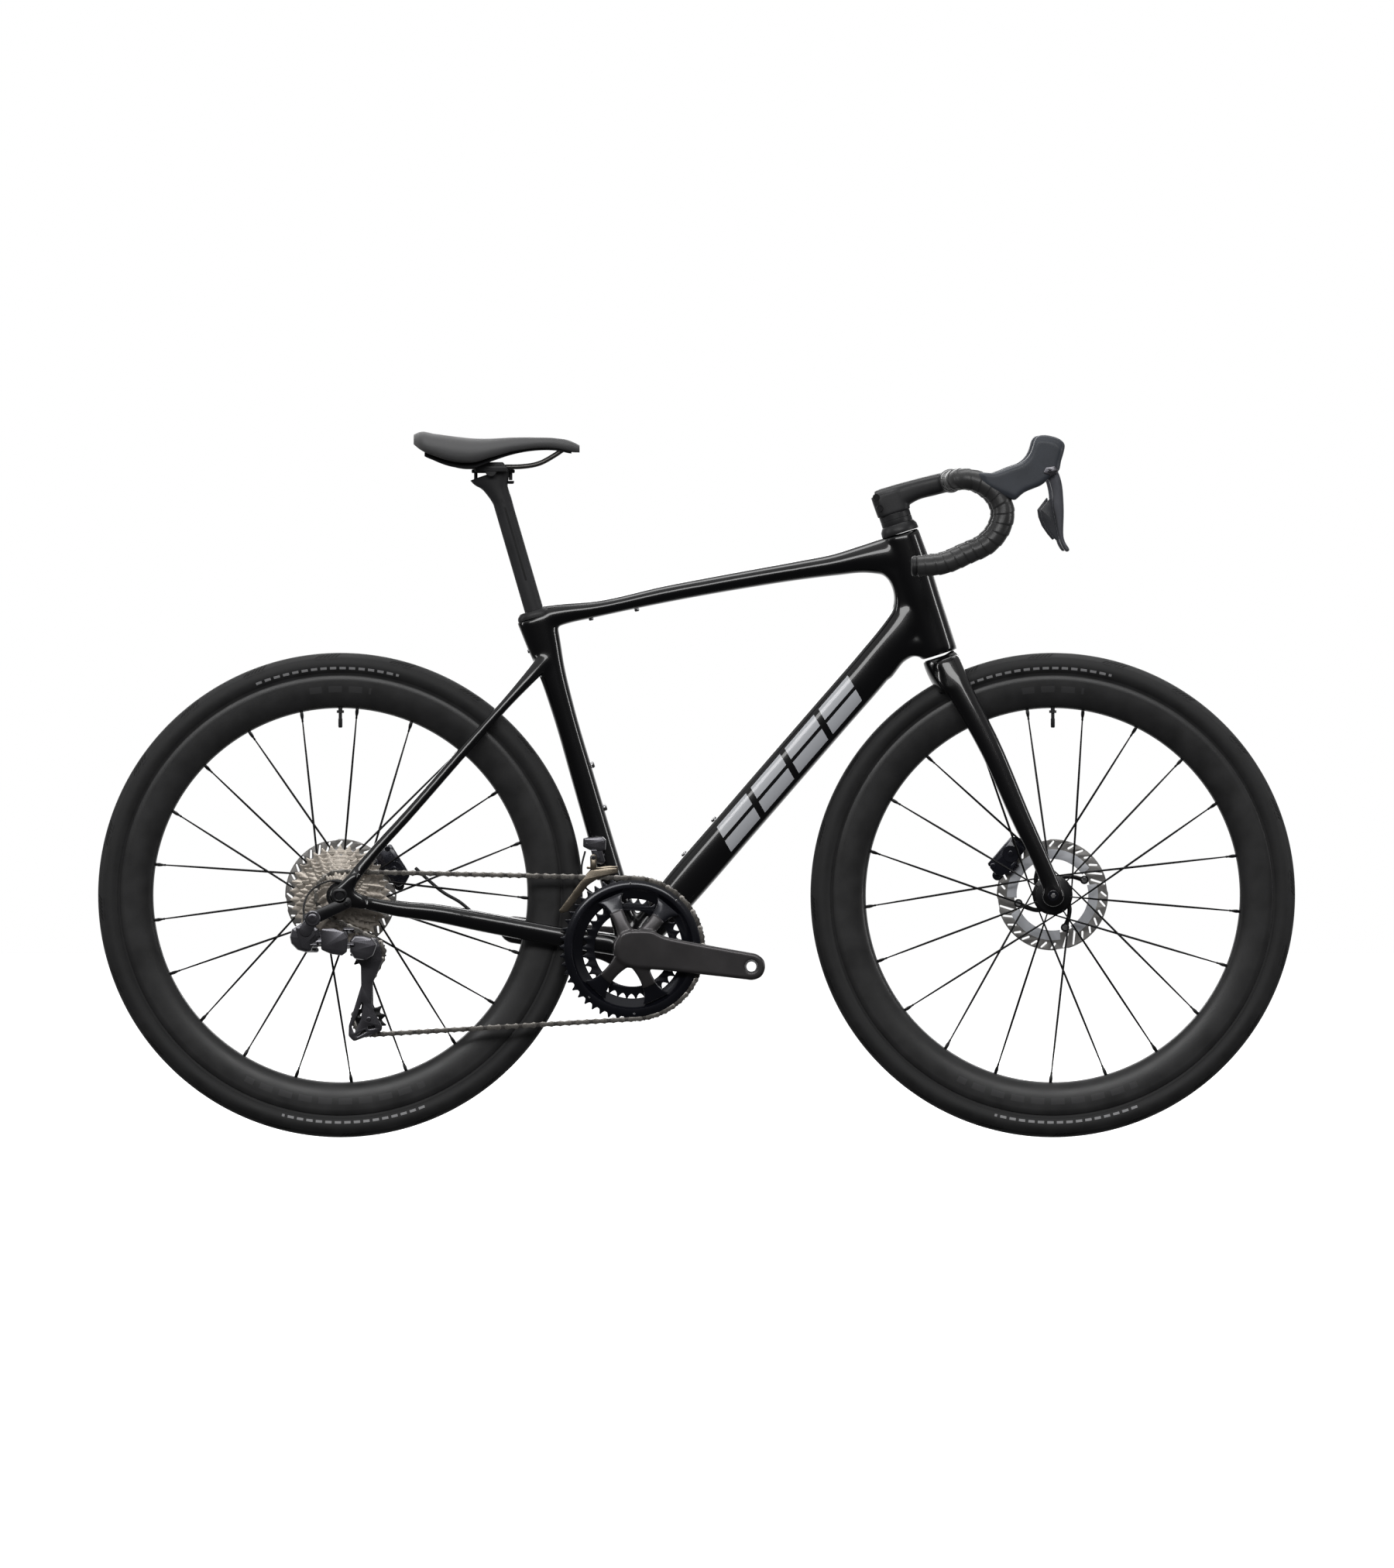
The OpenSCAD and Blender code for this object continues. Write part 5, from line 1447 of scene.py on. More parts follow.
def build_rear_mech():
    """The rear derailleur's motor, links, knuckle, cage and pulleys."""
    body = [(-582.8, 289.4), (-579.7, 300.9), (-566.4, 309.8), (-552, 309), (-541, 301),
        (-539, 289), (-547.8, 280.4), (-552, 268.2),
            (-560, 267.2), (-572, 270.7), (-581, 280)]
    motor = plate_skin([rounded(body, 4)], -92, -62, 4.2)
    shield = plate_skin(
        [rounded([(-575, 303), (-560, 308), (-549, 304), (-545, 292), (-553, 284), (-556, 270),
                    (-566, 273)], 3)], -93.6, -90, 1.4)
    eye = lathe([(11.4, -97.5), (11.4, -89)], (-550.3, 315.6), 48, 1.6)
    socket = bolt_skin((-550.3, -97, 315.6), (0, -1, 0), 7, 1.2, 0.45)
    neck = plate_skin([strip((-550.3, 315.6), (-560, 299), 8.6, 9.5)], -96, -88, 1.6)
    forks = []
    for pin, reach in ((OUTER_PIN, 6.0), (INNER_PIN, 4.5)):
        for z in (-11.8, 11.8):
            v, f = plate_skin(
                [rounded([(-14, -reach), (2, -reach), (4.5, 0), (2, reach), (-14, reach)], 1.5)],
                -2, 2, 0.5)
            forks.append(leaned((np.stack([v[:, 0], v[:, 2], -v[:, 1] + z], 1), f), pin))
    motor_piece = make("rear_mech_motor", joined(motor, shield, eye, neck, socket, *forks))
    links = []
    for name, pin, w in (("rear_mech_outer_link", OUTER_PIN, 4.7),
        ("rear_mech_inner_link", INNER_PIN, 3.5)):
        parts = [leaned(link_skin(w, 9.3 if w > 4 else 5.5), pin)]
        heads = (0, LINK) if w > 4 else (0,)
        for x in heads:
            v, f = lathe([(2.6, -14.4), (2.6, 14.4)], (x, 0), 20, 0.4)
            parts.append(leaned((np.stack([v[:, 0], v[:, 2], -v[:, 1]], 1), f), pin))
        if w > 4:
            parts.append(plate_skin([rounded(LINK_COVER, 4)], -94.6, -90.0, 1.8))
            parts.append(
                plate_skin([rounded([(-532, 294), (-510, 294), (-510, 281), (-532, 281)], 2)], -91,
                    -82, 0.8))
        links.append(make(name, joined(*parts)))
    knuckle_line = [(-497, 284), (-490, 292), (-478, 291.9), (-464.8, 288.1), (-457.8, 277.9),
        (-463.5, 262.6), (-475, 255.4), (-490.3, 258), (-497, 268)]
    shell = plate_skin([rounded(knuckle_line, 4)], -86, -58, 4)
    knob = lathe([(12.5, -60), (12.5, -55.8)], (-482, 273), 40, 1)
    knuckle_forks = []
    for z in (-11.8, 11.8):
        v, f = plate_skin([rounded([(-4.5, 0), (-2, -6), (13, -6), (13, 6), (-2, 6)], 1.5)], -2, 2,
            0.5)
        knuckle_forks.append(leaned((np.stack([v[:, 0], v[:, 2], -v[:, 1] + z], 1), f),
                (OUTER_PIN[0] + LINK, OUTER_PIN[1], OUTER_PIN[2])))
    knuckle = make("rear_mech_knuckle", joined(shell, knob, *knuckle_forks))
    cage_line = [(-480.1, 286), (-470, 289.5), (-459.7, 286.8), (-453.3, 275.3), (-450.8, 254.9),
        (-457.2, 239.6), (-464.5, 221.7), (-466, 193.6),
                 (-461.5, 180.9), (-450.8, 160.5), (-451.5, 154.1), (-491.6, 138.8),
        (-499.3, 146.7), (-498.8, 161.7), (-481.1, 219.2),
                 (-481.6, 247.2), (-492, 262), (-490, 278)]
    holes = [rounded([(-494.5, 160), (-486, 178), (-480.5, 196), (-478, 192), (-482, 170),
                (-491, 150)], 1.5),
             rounded([(-487, 148), (-476, 155.5), (-473, 153), (-486.5, 145.5)], 1),
        rounded([(-472, 160), (-462, 162), (-461, 158), (-470, 156)], 1.2)]
    outer = plate_skin([rounded(cage_line, 5), *holes], -54.3, -51.2, 0.9)
    back = plate_skin(
        [rounded([(-477, 268), (-465, 268), (-463.5, 180), (-459, 168), (-461, 160), (-484, 143),
                    (-491, 148), (-479, 170)], 3)],
                      CHAIN_Y + 5.6, CHAIN_Y + 7.4, 0.5)
    axles = [lathe([(3, -53), (3, CHAIN_Y + 7.6)], c, 24, 0.3) for c in (GUIDE, TENSION)]
    axles.append(lathe([(2, -53), (2, CHAIN_Y + 7.6)], TENSION + np.array([-18.5, -23]), 16, 0.3))
    axles.append(lathe([(3, -65), (3, -51)], (-482, 273), 24, 0.3))
    caps = [bolt_skin((c[0], -54.2, c[1]), (0, -1, 0), 3.6, 0.9) for c in (TENSION,)]
    cage = make("rear_mech_cage", joined(outer, back, *axles, *caps))
    pulleys = []
    for name, c, key in (("guide_pulley_wheel", GUIDE, 2), ("tension_pulley_wheel", TENSION, 1)):
        windows = [rounded([turn(c, 8, a - 18), turn(c, 14, a - 14), turn(c, 14, a + 14),
                    turn(c, 8, a + 18)], 1.2) for a in range(0, 360, 72)]
        wheel = plate_skin([teeth(c, 11, VALLEY[key]), circle(c, 3.05, 24), *windows],
            CHAIN_Y - 0.9, CHAIN_Y + 0.9, 0.2)
        hub = turned([(3.06, CHAIN_Y - 1.6), (6.2, CHAIN_Y - 1.6), (6.2, CHAIN_Y + 1.6),
                (3.06, CHAIN_Y + 1.6)], c, 32, closed=True)
        pulleys.append(recentre(make(name, joined(wheel, hub)), c))
    return motor_piece, links, knuckle, cage, pulleys


def build_hanger():
    """The forged arm that carries the rear derailleur."""
    arm = plate_skin([strip(REAR + np.array([9, -10]), (-550.3, 315.6), 8.6, 9.5)], -83.2, -77, 1.4)
    ring = plate_skin([circle(REAR, 11.4, 48), circle(REAR, 6, 32)], -83.2, -77, 1.2)
    boss = lathe([(11, -90), (11, -77.5)], (-550.3, 315.6), 48, 0.8)
    screw = bolt_skin((REAR[0] + 10, -83, REAR[1] - 10.7), (0, -1, 0), 4, 2.6)
    return make("mech_hanger", joined(arm, ring, boss, screw))


# ---- Brakes and cables ------------------------------------------------------


def caliper(which, c, angle, y):
    """A flat-mount caliper: two bridged halves, a piston cover, fins and bolts."""
    at = lambda skin: in_plane(skin, c, angle, y)
    skins = []
    face = rounded([(-31, -4), (-25, -12), (-14, -14.5), (-4, -11), (9, -13), (24, -12), (31, -7),
            (32, 4), (26, 15), (12, 16.5), (-16, 16),
                    (-29, 10)], 5)
    for y0, y1 in ((-11.6, -4.5), (4.5, 16)):
        skins.append(at(plate_skin([face], y0, y1, 1.6)))
    skins.append(
        at(plate_skin([rounded([(-29, 11.2), (27, 11.2), (24, 16), (-26, 16)], 2)], -11, 15, 0.8)))
    skins.append(at(lathe([(12.4, -12.8), (12.4, -10)], (6, 0), 48, 0.8)))
    skins.append(at(lathe([(12.2, 15), (12.2, 18.2)], (6, 0), 48, 1.4)))
    skins.append(at(bolt_skin((6, -12.6, 0), (0, -1, 0), 4.4, 0.6, 0.5)))
    skins.append(at(bolt_skin((-24, -11.4, 8), (0, -1, 0), 4.2, 1.0, 0.5)))
    body = make(which + "_caliper_halves", joined(*skins), 32)
    fins = [at(plate_skin(
                [rounded([(-17 + 3.3 * k, -20.5), (-15.4 + 3.3 * k, -20.5), (-15.4 + 3.3 * k, -9),
                    (-17 + 3.3 * k, -9)], 0.5, 2)], -11, 13, 0.3))
            for k in range(6)]
    block = at(plate_skin([rounded([(-20, -11), (4, -11), (4, -15.5), (-20, -15.5)], 1)], 4.6, 13.5,
            0.4))
    block2 = at(plate_skin([rounded([(-20, -11), (4, -11), (4, -15.5), (-20, -15.5)], 1)], -11.2,
            -4.6, 0.4))
    bolts = []
    face, head = (-3, 3.4) if which == "front" else (3.0, 1.2)
    for x in (-30, 30):
        bolts.append(at(bolt_skin((x, face, -6), (0, -1, 0), 5.2, head, 0.5)))
        bolts.append(at(lathe([(7.4, face + 0.6), (7.4, 9.6)], (x, -6), 32, 1)))
    return body, make(which + "_caliper_details", joined(*fins, block, block2, *bolts), 32)


def build_cables():
    """The rear brake hose and the derailleur wires that show."""
    rear_hose = tube([(-404, 53, 386), (-389, 53, 372), (-364, 53, 351), (-340, 51, 337),
            (-322, 47, 322)], 2.5, 2, 16, dome=1)
    shift = tube([(-510, -66, 367), (-522, -68, 369.5), (-541, -71, 364), (-557, -75, 350),
            (-563, -78, 332), (-561, -80, 310)], 1.5, 2, 12, dome=0.6)
    sleeve = loft([(-506, -66, 366.5, 3.4, 3.4), (-515, -67, 368.8, 3.0, 3.0),
            (-522, -68, 369.5, 2.0, 2.0)], 1.5, 20, 2, dome=0.8)
    boot = loft([(-562, -79, 322, 2.0, 2.0), (-561.5, -80, 313, 3.2, 3.2),
            (-561, -80, 307, 3.6, 3.6)], 1.5, 20, 2, dome=0.8)
    mech = tube([(-160, -22, 411), (-165, -22, 388), (-160, -18, 360), (-140, -12, 345)], 1.4, 2,
        12, dome=0.6)
    return make("wires_and_hose", joined(rear_hose, shift, sleeve, boot, mech))


# ---- Cockpit ----------------------------------------------------------------


def build_headset():
    """The headset cone and the spacers above it."""
    cover = [(26.5, -3.9), (27.2, -2.2), (26.6, 4), (24, 8.4), (23, 9.9)]
    spacers = [(22.4, 10.2), (22.6, 10.7), (22.6, 16.9), (22.2, 17.4), (22.6, 17.9), (22.6, 25.2),
        (22.2, 25.7)]
    v, f = turned([(14.5, -3.9)] + cover + spacers + [(14.5, 25.7)], (0, 0), 72, closed=True)
    # along() runs up the steering axis, so the turned skin's own Y becomes that axis
    up = np.array([-math.sin(HEAD_TILT), 0, math.cos(HEAD_TILT)])
    front = np.array([math.cos(HEAD_TILT), 0, math.sin(HEAD_TILT)])
    base = np.array([STEER_TOP[0], 0, STEER_TOP[1]])
    return make("headset_cone_and_spacers",
        (base + np.outer(v[:, 0], front) + np.outer(v[:, 2], [0, 1, 0]) + np.outer(v[:, 1], up), f))


def build_stem():
    """The stem: a clamp round the steerer, a tapering body, two bolt covers and a faceplate."""
    collar = loft(rows_on(along_steering,
            [(25.9, 21.2, 24.2), (34, 21, 24.6), (48, 20.6, 25), (57, 20.2, 25)]), 3, 48, 3.6,
        dome=0.8)
    arm = loft([(262, 0, 908, 20.5, 21), (272, 0, 911.5, 20.5, 21.5), (288, 0, 919.2, 19.5, 18.8),
            (314, 0, 930, 18.5, 15),
                (340, 0, 936.8, 20.5, 14.8), (358, 0, 941.3, 23, 14.6)], 4, 48, 3.2, dome=2)
    clamp = lathe([(17.2, -24), (17.2, 24)], (365, 943), 64, 2)
    body = blended("stem_body", [collar, arm, clamp], 1.1, 7)
    covers = []
    for at in ((257.8, 919.5), (262.8, 903.5)):
        covers.append(
            pair(turned([(0, -21.2), (3.6, -21.2), (3.6, -21.9), (4.7, -21.9), (4.9, -21.5),
                        (4.9, -12)], at, 32)))
    bolts = [bolt_skin((x, y, z), (0.96, 0, 0.28), 3.1, 2.0) for y in (-16, 16) for x,
        z in ((379.0, 954.5), (381.6, 934.0))]
    return even_normals(body, 4), make("stem_bolts_and_covers", joined(*bolts, *covers))


def build_bar():
    """The bare bar, with its two plugs."""
    half = tube(BAR_PATH, 11.9, 3, 28)
    swell = loft([(365, -2, 943, 15.9, 15.9), (365, 30, 943, 15.9, 15.9),
            (365, 46, 943, 14.4, 14.4), (365, 62, 943, 12.2, 12.2)], 3, 36, 2, (1, 0, 0))
    plugs = loft([(314, 212, 821.1, 14.4, 14.4), (309.5, 212, 821, 14.6, 14.6),
            (307.2, 212, 821, 12.5, 12.5)], 1, 32, 2, dome=0.8)
    return make("drop_bar", joined(pair(half), pair(swell), pair(plugs)))


def build_tape():
    """Tape wound round the bar in overlapping turns, thin at each turn's edge."""
    sizes = bpy.context.scene.road_bicycle_sizes
    path = spline([list(p) + [1, 1] for p in BAR_PATH], 1.0)[:, :3]
    lengths = np.concatenate([[0], np.cumsum(np.linalg.norm(np.diff(path, axis=0), axis=1))])
    start, stop = 68.0, lengths[-1] - 2.5
    side, up = carried_axes(path, (0.02, 0.99, 0.1))
    pitch = sizes.tape_pitch / MM
    sides = 40
    rings = []
    for s in np.arange(start, stop, 0.9):
        i = int(np.searchsorted(lengths, s))
        i = min(i, len(path) - 1)
        ring = []
        for k in range(sides):
            a = 2 * math.pi * k / sides
            f = ((s - start) / pitch + k / sides) % 1.0
            lift = 0.85 * min(f / 0.86, 1) - 0.85 * max((f - 0.92) / 0.08, 0)
            ease = min(1, (s - start) / 5, (stop - s) / 3 + 0.3)
            r = 12.4 + (2.35 + lift) * max(ease, 0.15)
            ring.append(path[i] + side[i] * r * math.cos(a) + up[i] * r * math.sin(a))
        rings.append(ring)
    finish_band = loft([(365, 62.0, 943, 13.9, 13.9), (365, 72.0, 943, 14.6, 14.6)], 2, 36, 2,
        (1, 0, 0), dome=0.6)
    return make("wound_tape", joined(pair(capped(rings)), pair(finish_band)), 50)


HOOD = [
    (404, 954.8), (422, 954.2), (436, 958.5), (449, 963.8), (462, 968.4), (470, 974), (476, 981.5),
    (480, 991), (483, 1001), (489, 1007.5),
    (501.5, 1008), (517, 1003.6), (525.6, 995.5), (524.6, 984.7), (520.4, 970), (518.6, 960),
    (514, 953.4), (504, 946.6), (493, 937),
    (480, 931.4), (469, 926.8), (461, 920.6), (454, 915.2), (442, 919.6), (430, 924.6),
    (418, 930.2), (410, 935.5), (405, 945),
]


def build_hoods():
    """Rubber hoods over the lever bodies, and the pivot cover on each."""
    side = smooth_loop(HOOD, 3)
    grip = plate_skin([side], BAR_HALF - 14.5, BAR_HALF + 14.5, 4.5)
    belly = plate_skin([smooth_loop([(q[0] * 0.93 + 33, q[1] * 0.9 + 95) for q in HOOD], 3)],
        BAR_HALF - 16.5, BAR_HALF + 16.5, 4)
    hoods = blended("lever_hood_rubber", [pair(grip), pair(belly)], 1.2, 16)
    carve(hoods, make("hood_slot", pair(box_skin((489, 199.6, 890), (560, 214.4, 966)))))
    cover = plate_skin(
        [rounded([(494, 953), (499, 962.5), (512, 964.5), (517, 957), (508, 950)], 3)],
        BAR_HALF + 13, BAR_HALF + 17.2, 1.2)
    screw = bolt_skin((504.3, BAR_HALF + 16.8, 957.6), (0, 1, 0), 3, 1.6)
    return hoods, make("lever_pivot_covers", pair(joined(cover, screw)))


def box_skin(low, high):
    """A plain box from corner to corner."""
    (x0, y0, z0), (x1, y1, z1) = low, high
    v = [(x, y, z) for x in (x0, x1) for y in (y0, y1) for z in (z0, z1)]
    return np.array(v, float), [[0, 1, 3, 2], [4, 6, 7, 5], [0, 4, 5, 1], [2, 3, 7, 6],
        [0, 2, 6, 4], [1, 5, 7, 3]]


def carve(obj, cutter):
    """Cuts one object out of another and removes the cutter."""
    cut = obj.modifiers.new("carve", "BOOLEAN")
    cut.operation = "DIFFERENCE"
    cut.object = cutter
    cut.solver = "EXACT"
    bake(obj, 60)
    bpy.data.objects.remove(cutter)
    return obj


LEVER = [
    (497, 957), (506, 966), (514.4, 959.6), (520, 946), (523, 930), (524.6, 900), (523.9, 868),
    (526.4, 856), (532, 846.5), (531.6, 842.6),
    (526.6, 842.4), (520.2, 853), (516.6, 868), (513.6, 888), (509.6, 907), (507.4, 928),
    (502.6, 946),
]


def build_levers():
    """Curved brake blades, one each side."""
    out = []
    for side, sign in (("right", -1), ("left", 1)):
        blade = plate_skin([smooth_loop(LEVER, 4)], BAR_HALF - 5.2, BAR_HALF + 5.2, 2.2)
        pin = lathe([(3.2, BAR_HALF - 6.6), (3.2, BAR_HALF + 6.6)], (503.4, 958.2), 24, 0.5)
        skin = joined(blade, pin)
        out.append((side, make(side + "_brake_blade", skin if sign > 0 else mirrored(skin), 28)))
    return out


BUTTONS = {
    "front": [(508.6, 924), (511.2, 924.4), (514.6, 911), (518.4, 884), (519.3, 866),
        (516.7, 865.7), (512.6, 885), (508.9, 905)],
    "rear": [(506.2, 920.4), (499, 911), (491.6, 901.4), (493, 891), (498, 878), (506, 866.4),
        (513.6, 857.4), (516.8, 860), (511.8, 885), (508.1, 905)],
}


def build_buttons():
    """Two shift buttons on each lever."""
    out = []
    for side, sign in (("right", -1), ("left", 1)):
        for place, outline in BUTTONS.items():
            skin = plate_skin([rounded(outline, 1.6)], BAR_HALF - 1.9, BAR_HALF + 4.5, 0.9)
            out.append((side, place,
                    make(f"{side}_{place}_button", skin if sign > 0 else mirrored(skin), 40)))
    return out


# ---- Seat -------------------------------------------------------------------


def build_post():
    """The seatpost with its widening head, and the clamp for the rails."""
    shaft = loft(rows_on(along_seat, [(300, 13.6, 13.6), (690, 13.6, 13.6)]), 12, 48, 2)
    head = loft([list(along_seat(652)) + [13.5, 13.5], list(along_seat(670)) + [13.6, 14],
            (-286.5, 0, 930, 13.8, 16.5),
                 (-290.5, 0, 941, 14.2, 22.5), (-293.5, 0, 948.5, 14.5, 29),
            (-295, 0, 953, 14.5, 31.5)], 3, 48, 2.2, dome=1)
    post = make("seat_post", joined(shaft, head))
    drum = lathe([(8.4, -28), (8.4, 28)], (-295, 957.5), 40, 1)
    cradle = plate_skin(
        [rounded([(-318, 956), (-272, 956), (-271, 962), (-276, 966.5), (-314, 966.5), (-319, 962)],
                2)], -28.5, 28.5, 1.2)
    upper = [plate_skin([rounded([(-317, 963.5), (-273, 963.5), (-278, 969.8), (-312, 969.8)], 2)],
            *y, bevel=1.2) for y in ((15.5, 28.5), (-28.5, -15.5))]
    bolts = [bolt_skin((x, 0, 943), (0, 0, -1), 5, 4.5) for x in (-317, -267)]
    shanks = [tube([(x, 0, 944), (x, 0, 960)], 2.6, 4, 16) for x in (-317, -267)]
    yoke = plate_skin([rounded([(-323, 954), (-261, 954), (-261, 959.5), (-323, 959.5)], 2)], -7, 7,
        1)
    return post, make("saddle_clamp_parts", joined(drum, cradle, *upper, *bolts, *shanks, yoke))


SADDLE = [
    (-406, 0, 1003, 30, 6.5), (-398, 0, 1002, 52, 11), (-376, 0, 996, 66, 15),
    (-345, 0, 989.5, 71.5, 17.5), (-320, 0, 988, 69, 16.5),
    (-295, 0, 991.5, 58, 12.8), (-265, 0, 996, 42, 10), (-235, 0, 998, 30, 8.4),
    (-200, 0, 996.6, 22.5, 8), (-178, 0, 991.5, 19, 7.6),
    (-168, 0, 988.8, 13.5, 5.2),
]


def saddle_skin():
    """The saddle's padded body: flat wings that droop, a nose, and a shallow centre channel."""
    r = spline([list(p) for p in SADDLE], 3)
    sides = 64
    rings = []
    for x, _, z, w, h in r:
        ring = []
        for k in range(sides):
            a = 2 * math.pi * k / sides
            c, s = math.cos(a), math.sin(a)
            u = math.copysign(abs(c) ** 0.85, c)
            v = math.copysign(abs(s) ** 0.8, s)
            droop = -0.16 * w * abs(u) ** 2.6
            groove = -2.2 * math.exp(-((u * w / 8.5) ** 2)) * max(0,
                min(1, (-190 - x) / 40)) * max(0, min(1, (x + 392) / 30)) if s > 0 else 0
            ring.append([x, u * w, z + h * v + droop * (1 if s > 0 else 1.15) + groove])
        rings.append(ring)
    return capped(rings)


def build_saddle():
    """The padded cover and the shell under it."""
    cover = make("saddle_cover_padding", saddle_skin(), 60)
    base = spline([list(p) for p in SADDLE], 4)
    rings = []
    for x, _, z, w, h in base[4:-3]:
        low = z - h + 1.8
        rings.append(
            [[x, w * 0.86 * math.cos(a),
                    low - 0.4 + 2.4 * math.sin(a) - 0.16 * w * abs(math.cos(a)) ** 2.6]
                for a in np.linspace(0, 2 * math.pi, 40, endpoint=False)])
    shell = make("saddle_shell", capped(rings), 50)
    return cover, shell


def build_rails():
    """Both saddle rails."""
    line = [(-388, 27, 990), (-374, 25.5, 979.5), (-352, 23, 967.5), (-336, 22, 963.6),
        (-318, 22, 963), (-272, 22, 963), (-252, 22, 963.4),
            (-226, 20, 968), (-205, 15.5, 979), (-190, 11, 989)]
    return make("saddle_rail_pair", pair(tube(line, 3.5, 2, 20, dome=1)))


# ---- Settings ---------------------------------------------------------------


class RoadBicycleTones(bpy.types.PropertyGroup):
    """The main colours."""

    lacquer: bpy.props.FloatVectorProperty(
        name="Lacquer", description="Colour of the frame and fork", subtype="COLOR", size=3, min=0,
        max=1,
        default=(0.0035, 0.0035, 0.0045),
    )
    emblem: bpy.props.FloatVectorProperty(
        name="Down tube blocks", description="Colour of the slanted blocks on the down tube",
        subtype="COLOR", size=3,
        min=0, max=1, default=(0.72, 0.74, 0.79),
    )
    rubber: bpy.props.FloatVectorProperty(
        name="Tyre rubber", description="Colour of the tyres", subtype="COLOR", size=3, min=0,
        max=1,
        default=(0.026, 0.026, 0.027),
    )
    gunmetal: bpy.props.FloatVectorProperty(
        name="Derailleur grey",
        description="Colour of the derailleur bodies and the levers' pivot covers", subtype="COLOR",
        size=3,
        min=0, max=1, default=(0.135, 0.132, 0.148),
    )
    champagne: bpy.props.FloatVectorProperty(
        name="Cassette plating", description="Colour of the sprockets", subtype="COLOR", size=3,
        min=0, max=1,
        default=(0.62, 0.56, 0.49),
    )
    bronze: bpy.props.FloatVectorProperty(
        name="Front cage", description="Colour of the front derailleur's cage", subtype="COLOR",
        size=3, min=0, max=1,
        default=(0.27, 0.23, 0.18),
    )
    hood: bpy.props.FloatVectorProperty(
        name="Hood rubber", description="Colour of the lever hoods", subtype="COLOR", size=3, min=0,
        max=1,
        default=(0.062, 0.070, 0.086),
    )
    saddle: bpy.props.FloatVectorProperty(
        name="Saddle cover", description="Colour of the saddle's cover", subtype="COLOR", size=3,
        min=0, max=1,
        default=(0.058, 0.058, 0.060),
    )


class RoadBicycleSizes(bpy.types.PropertyGroup):
    """The sizes of the looks that the frame leaves open."""

    spoke_width: bpy.props.FloatProperty(
        name="Spoke width", description="Width of a spoke's flat blade", default=0.0022, min=0.001,
        max=0.004,
        subtype="DISTANCE", unit="LENGTH",
    )
    spoke_thickness: bpy.props.FloatProperty(
        name="Spoke thickness", description="Thickness of a spoke's flat blade", default=0.0011,
        min=0.0005, max=0.002,
        subtype="DISTANCE", unit="LENGTH",
    )
    tape_pitch: bpy.props.FloatProperty(
        name="Tape pitch", description="Distance from one turn of bar tape to the next",
        default=0.0145, min=0.008,
        max=0.03, subtype="DISTANCE", unit="LENGTH",
    )
    tread_groups: bpy.props.IntProperty(
        name="Tread groups", description="Number of groups of sipes round each tyre", default=20,
        min=6, max=40,
    )
    floor_radius: bpy.props.FloatProperty(
        name="Floor radius", description="Radius of the floor disc", default=16.0, min=3.0,
        max=40.0,
        subtype="DISTANCE", unit="LENGTH",
    )
    camera_distance: bpy.props.FloatProperty(
        name="Camera distance", description="Distance from the camera to the bicycle", default=40.0,
        min=5.0, max=80.0,
        subtype="DISTANCE", unit="LENGTH",
    )
    frame_height: bpy.props.FloatProperty(
        name="View height", description="Height of the view at the bicycle", default=2.252, min=1.0,
        max=5.0,
        subtype="DISTANCE", unit="LENGTH",
    )


# ---- Operators --------------------------------------------------------------


CAMERA_TARGET = (0.0006, 0, 0.5076)
CAMERA_RISE = math.radians(0.6)
SENSOR = 36
BELOW_WHEELS = -1.5
DOME_STRENGTH = 0.62


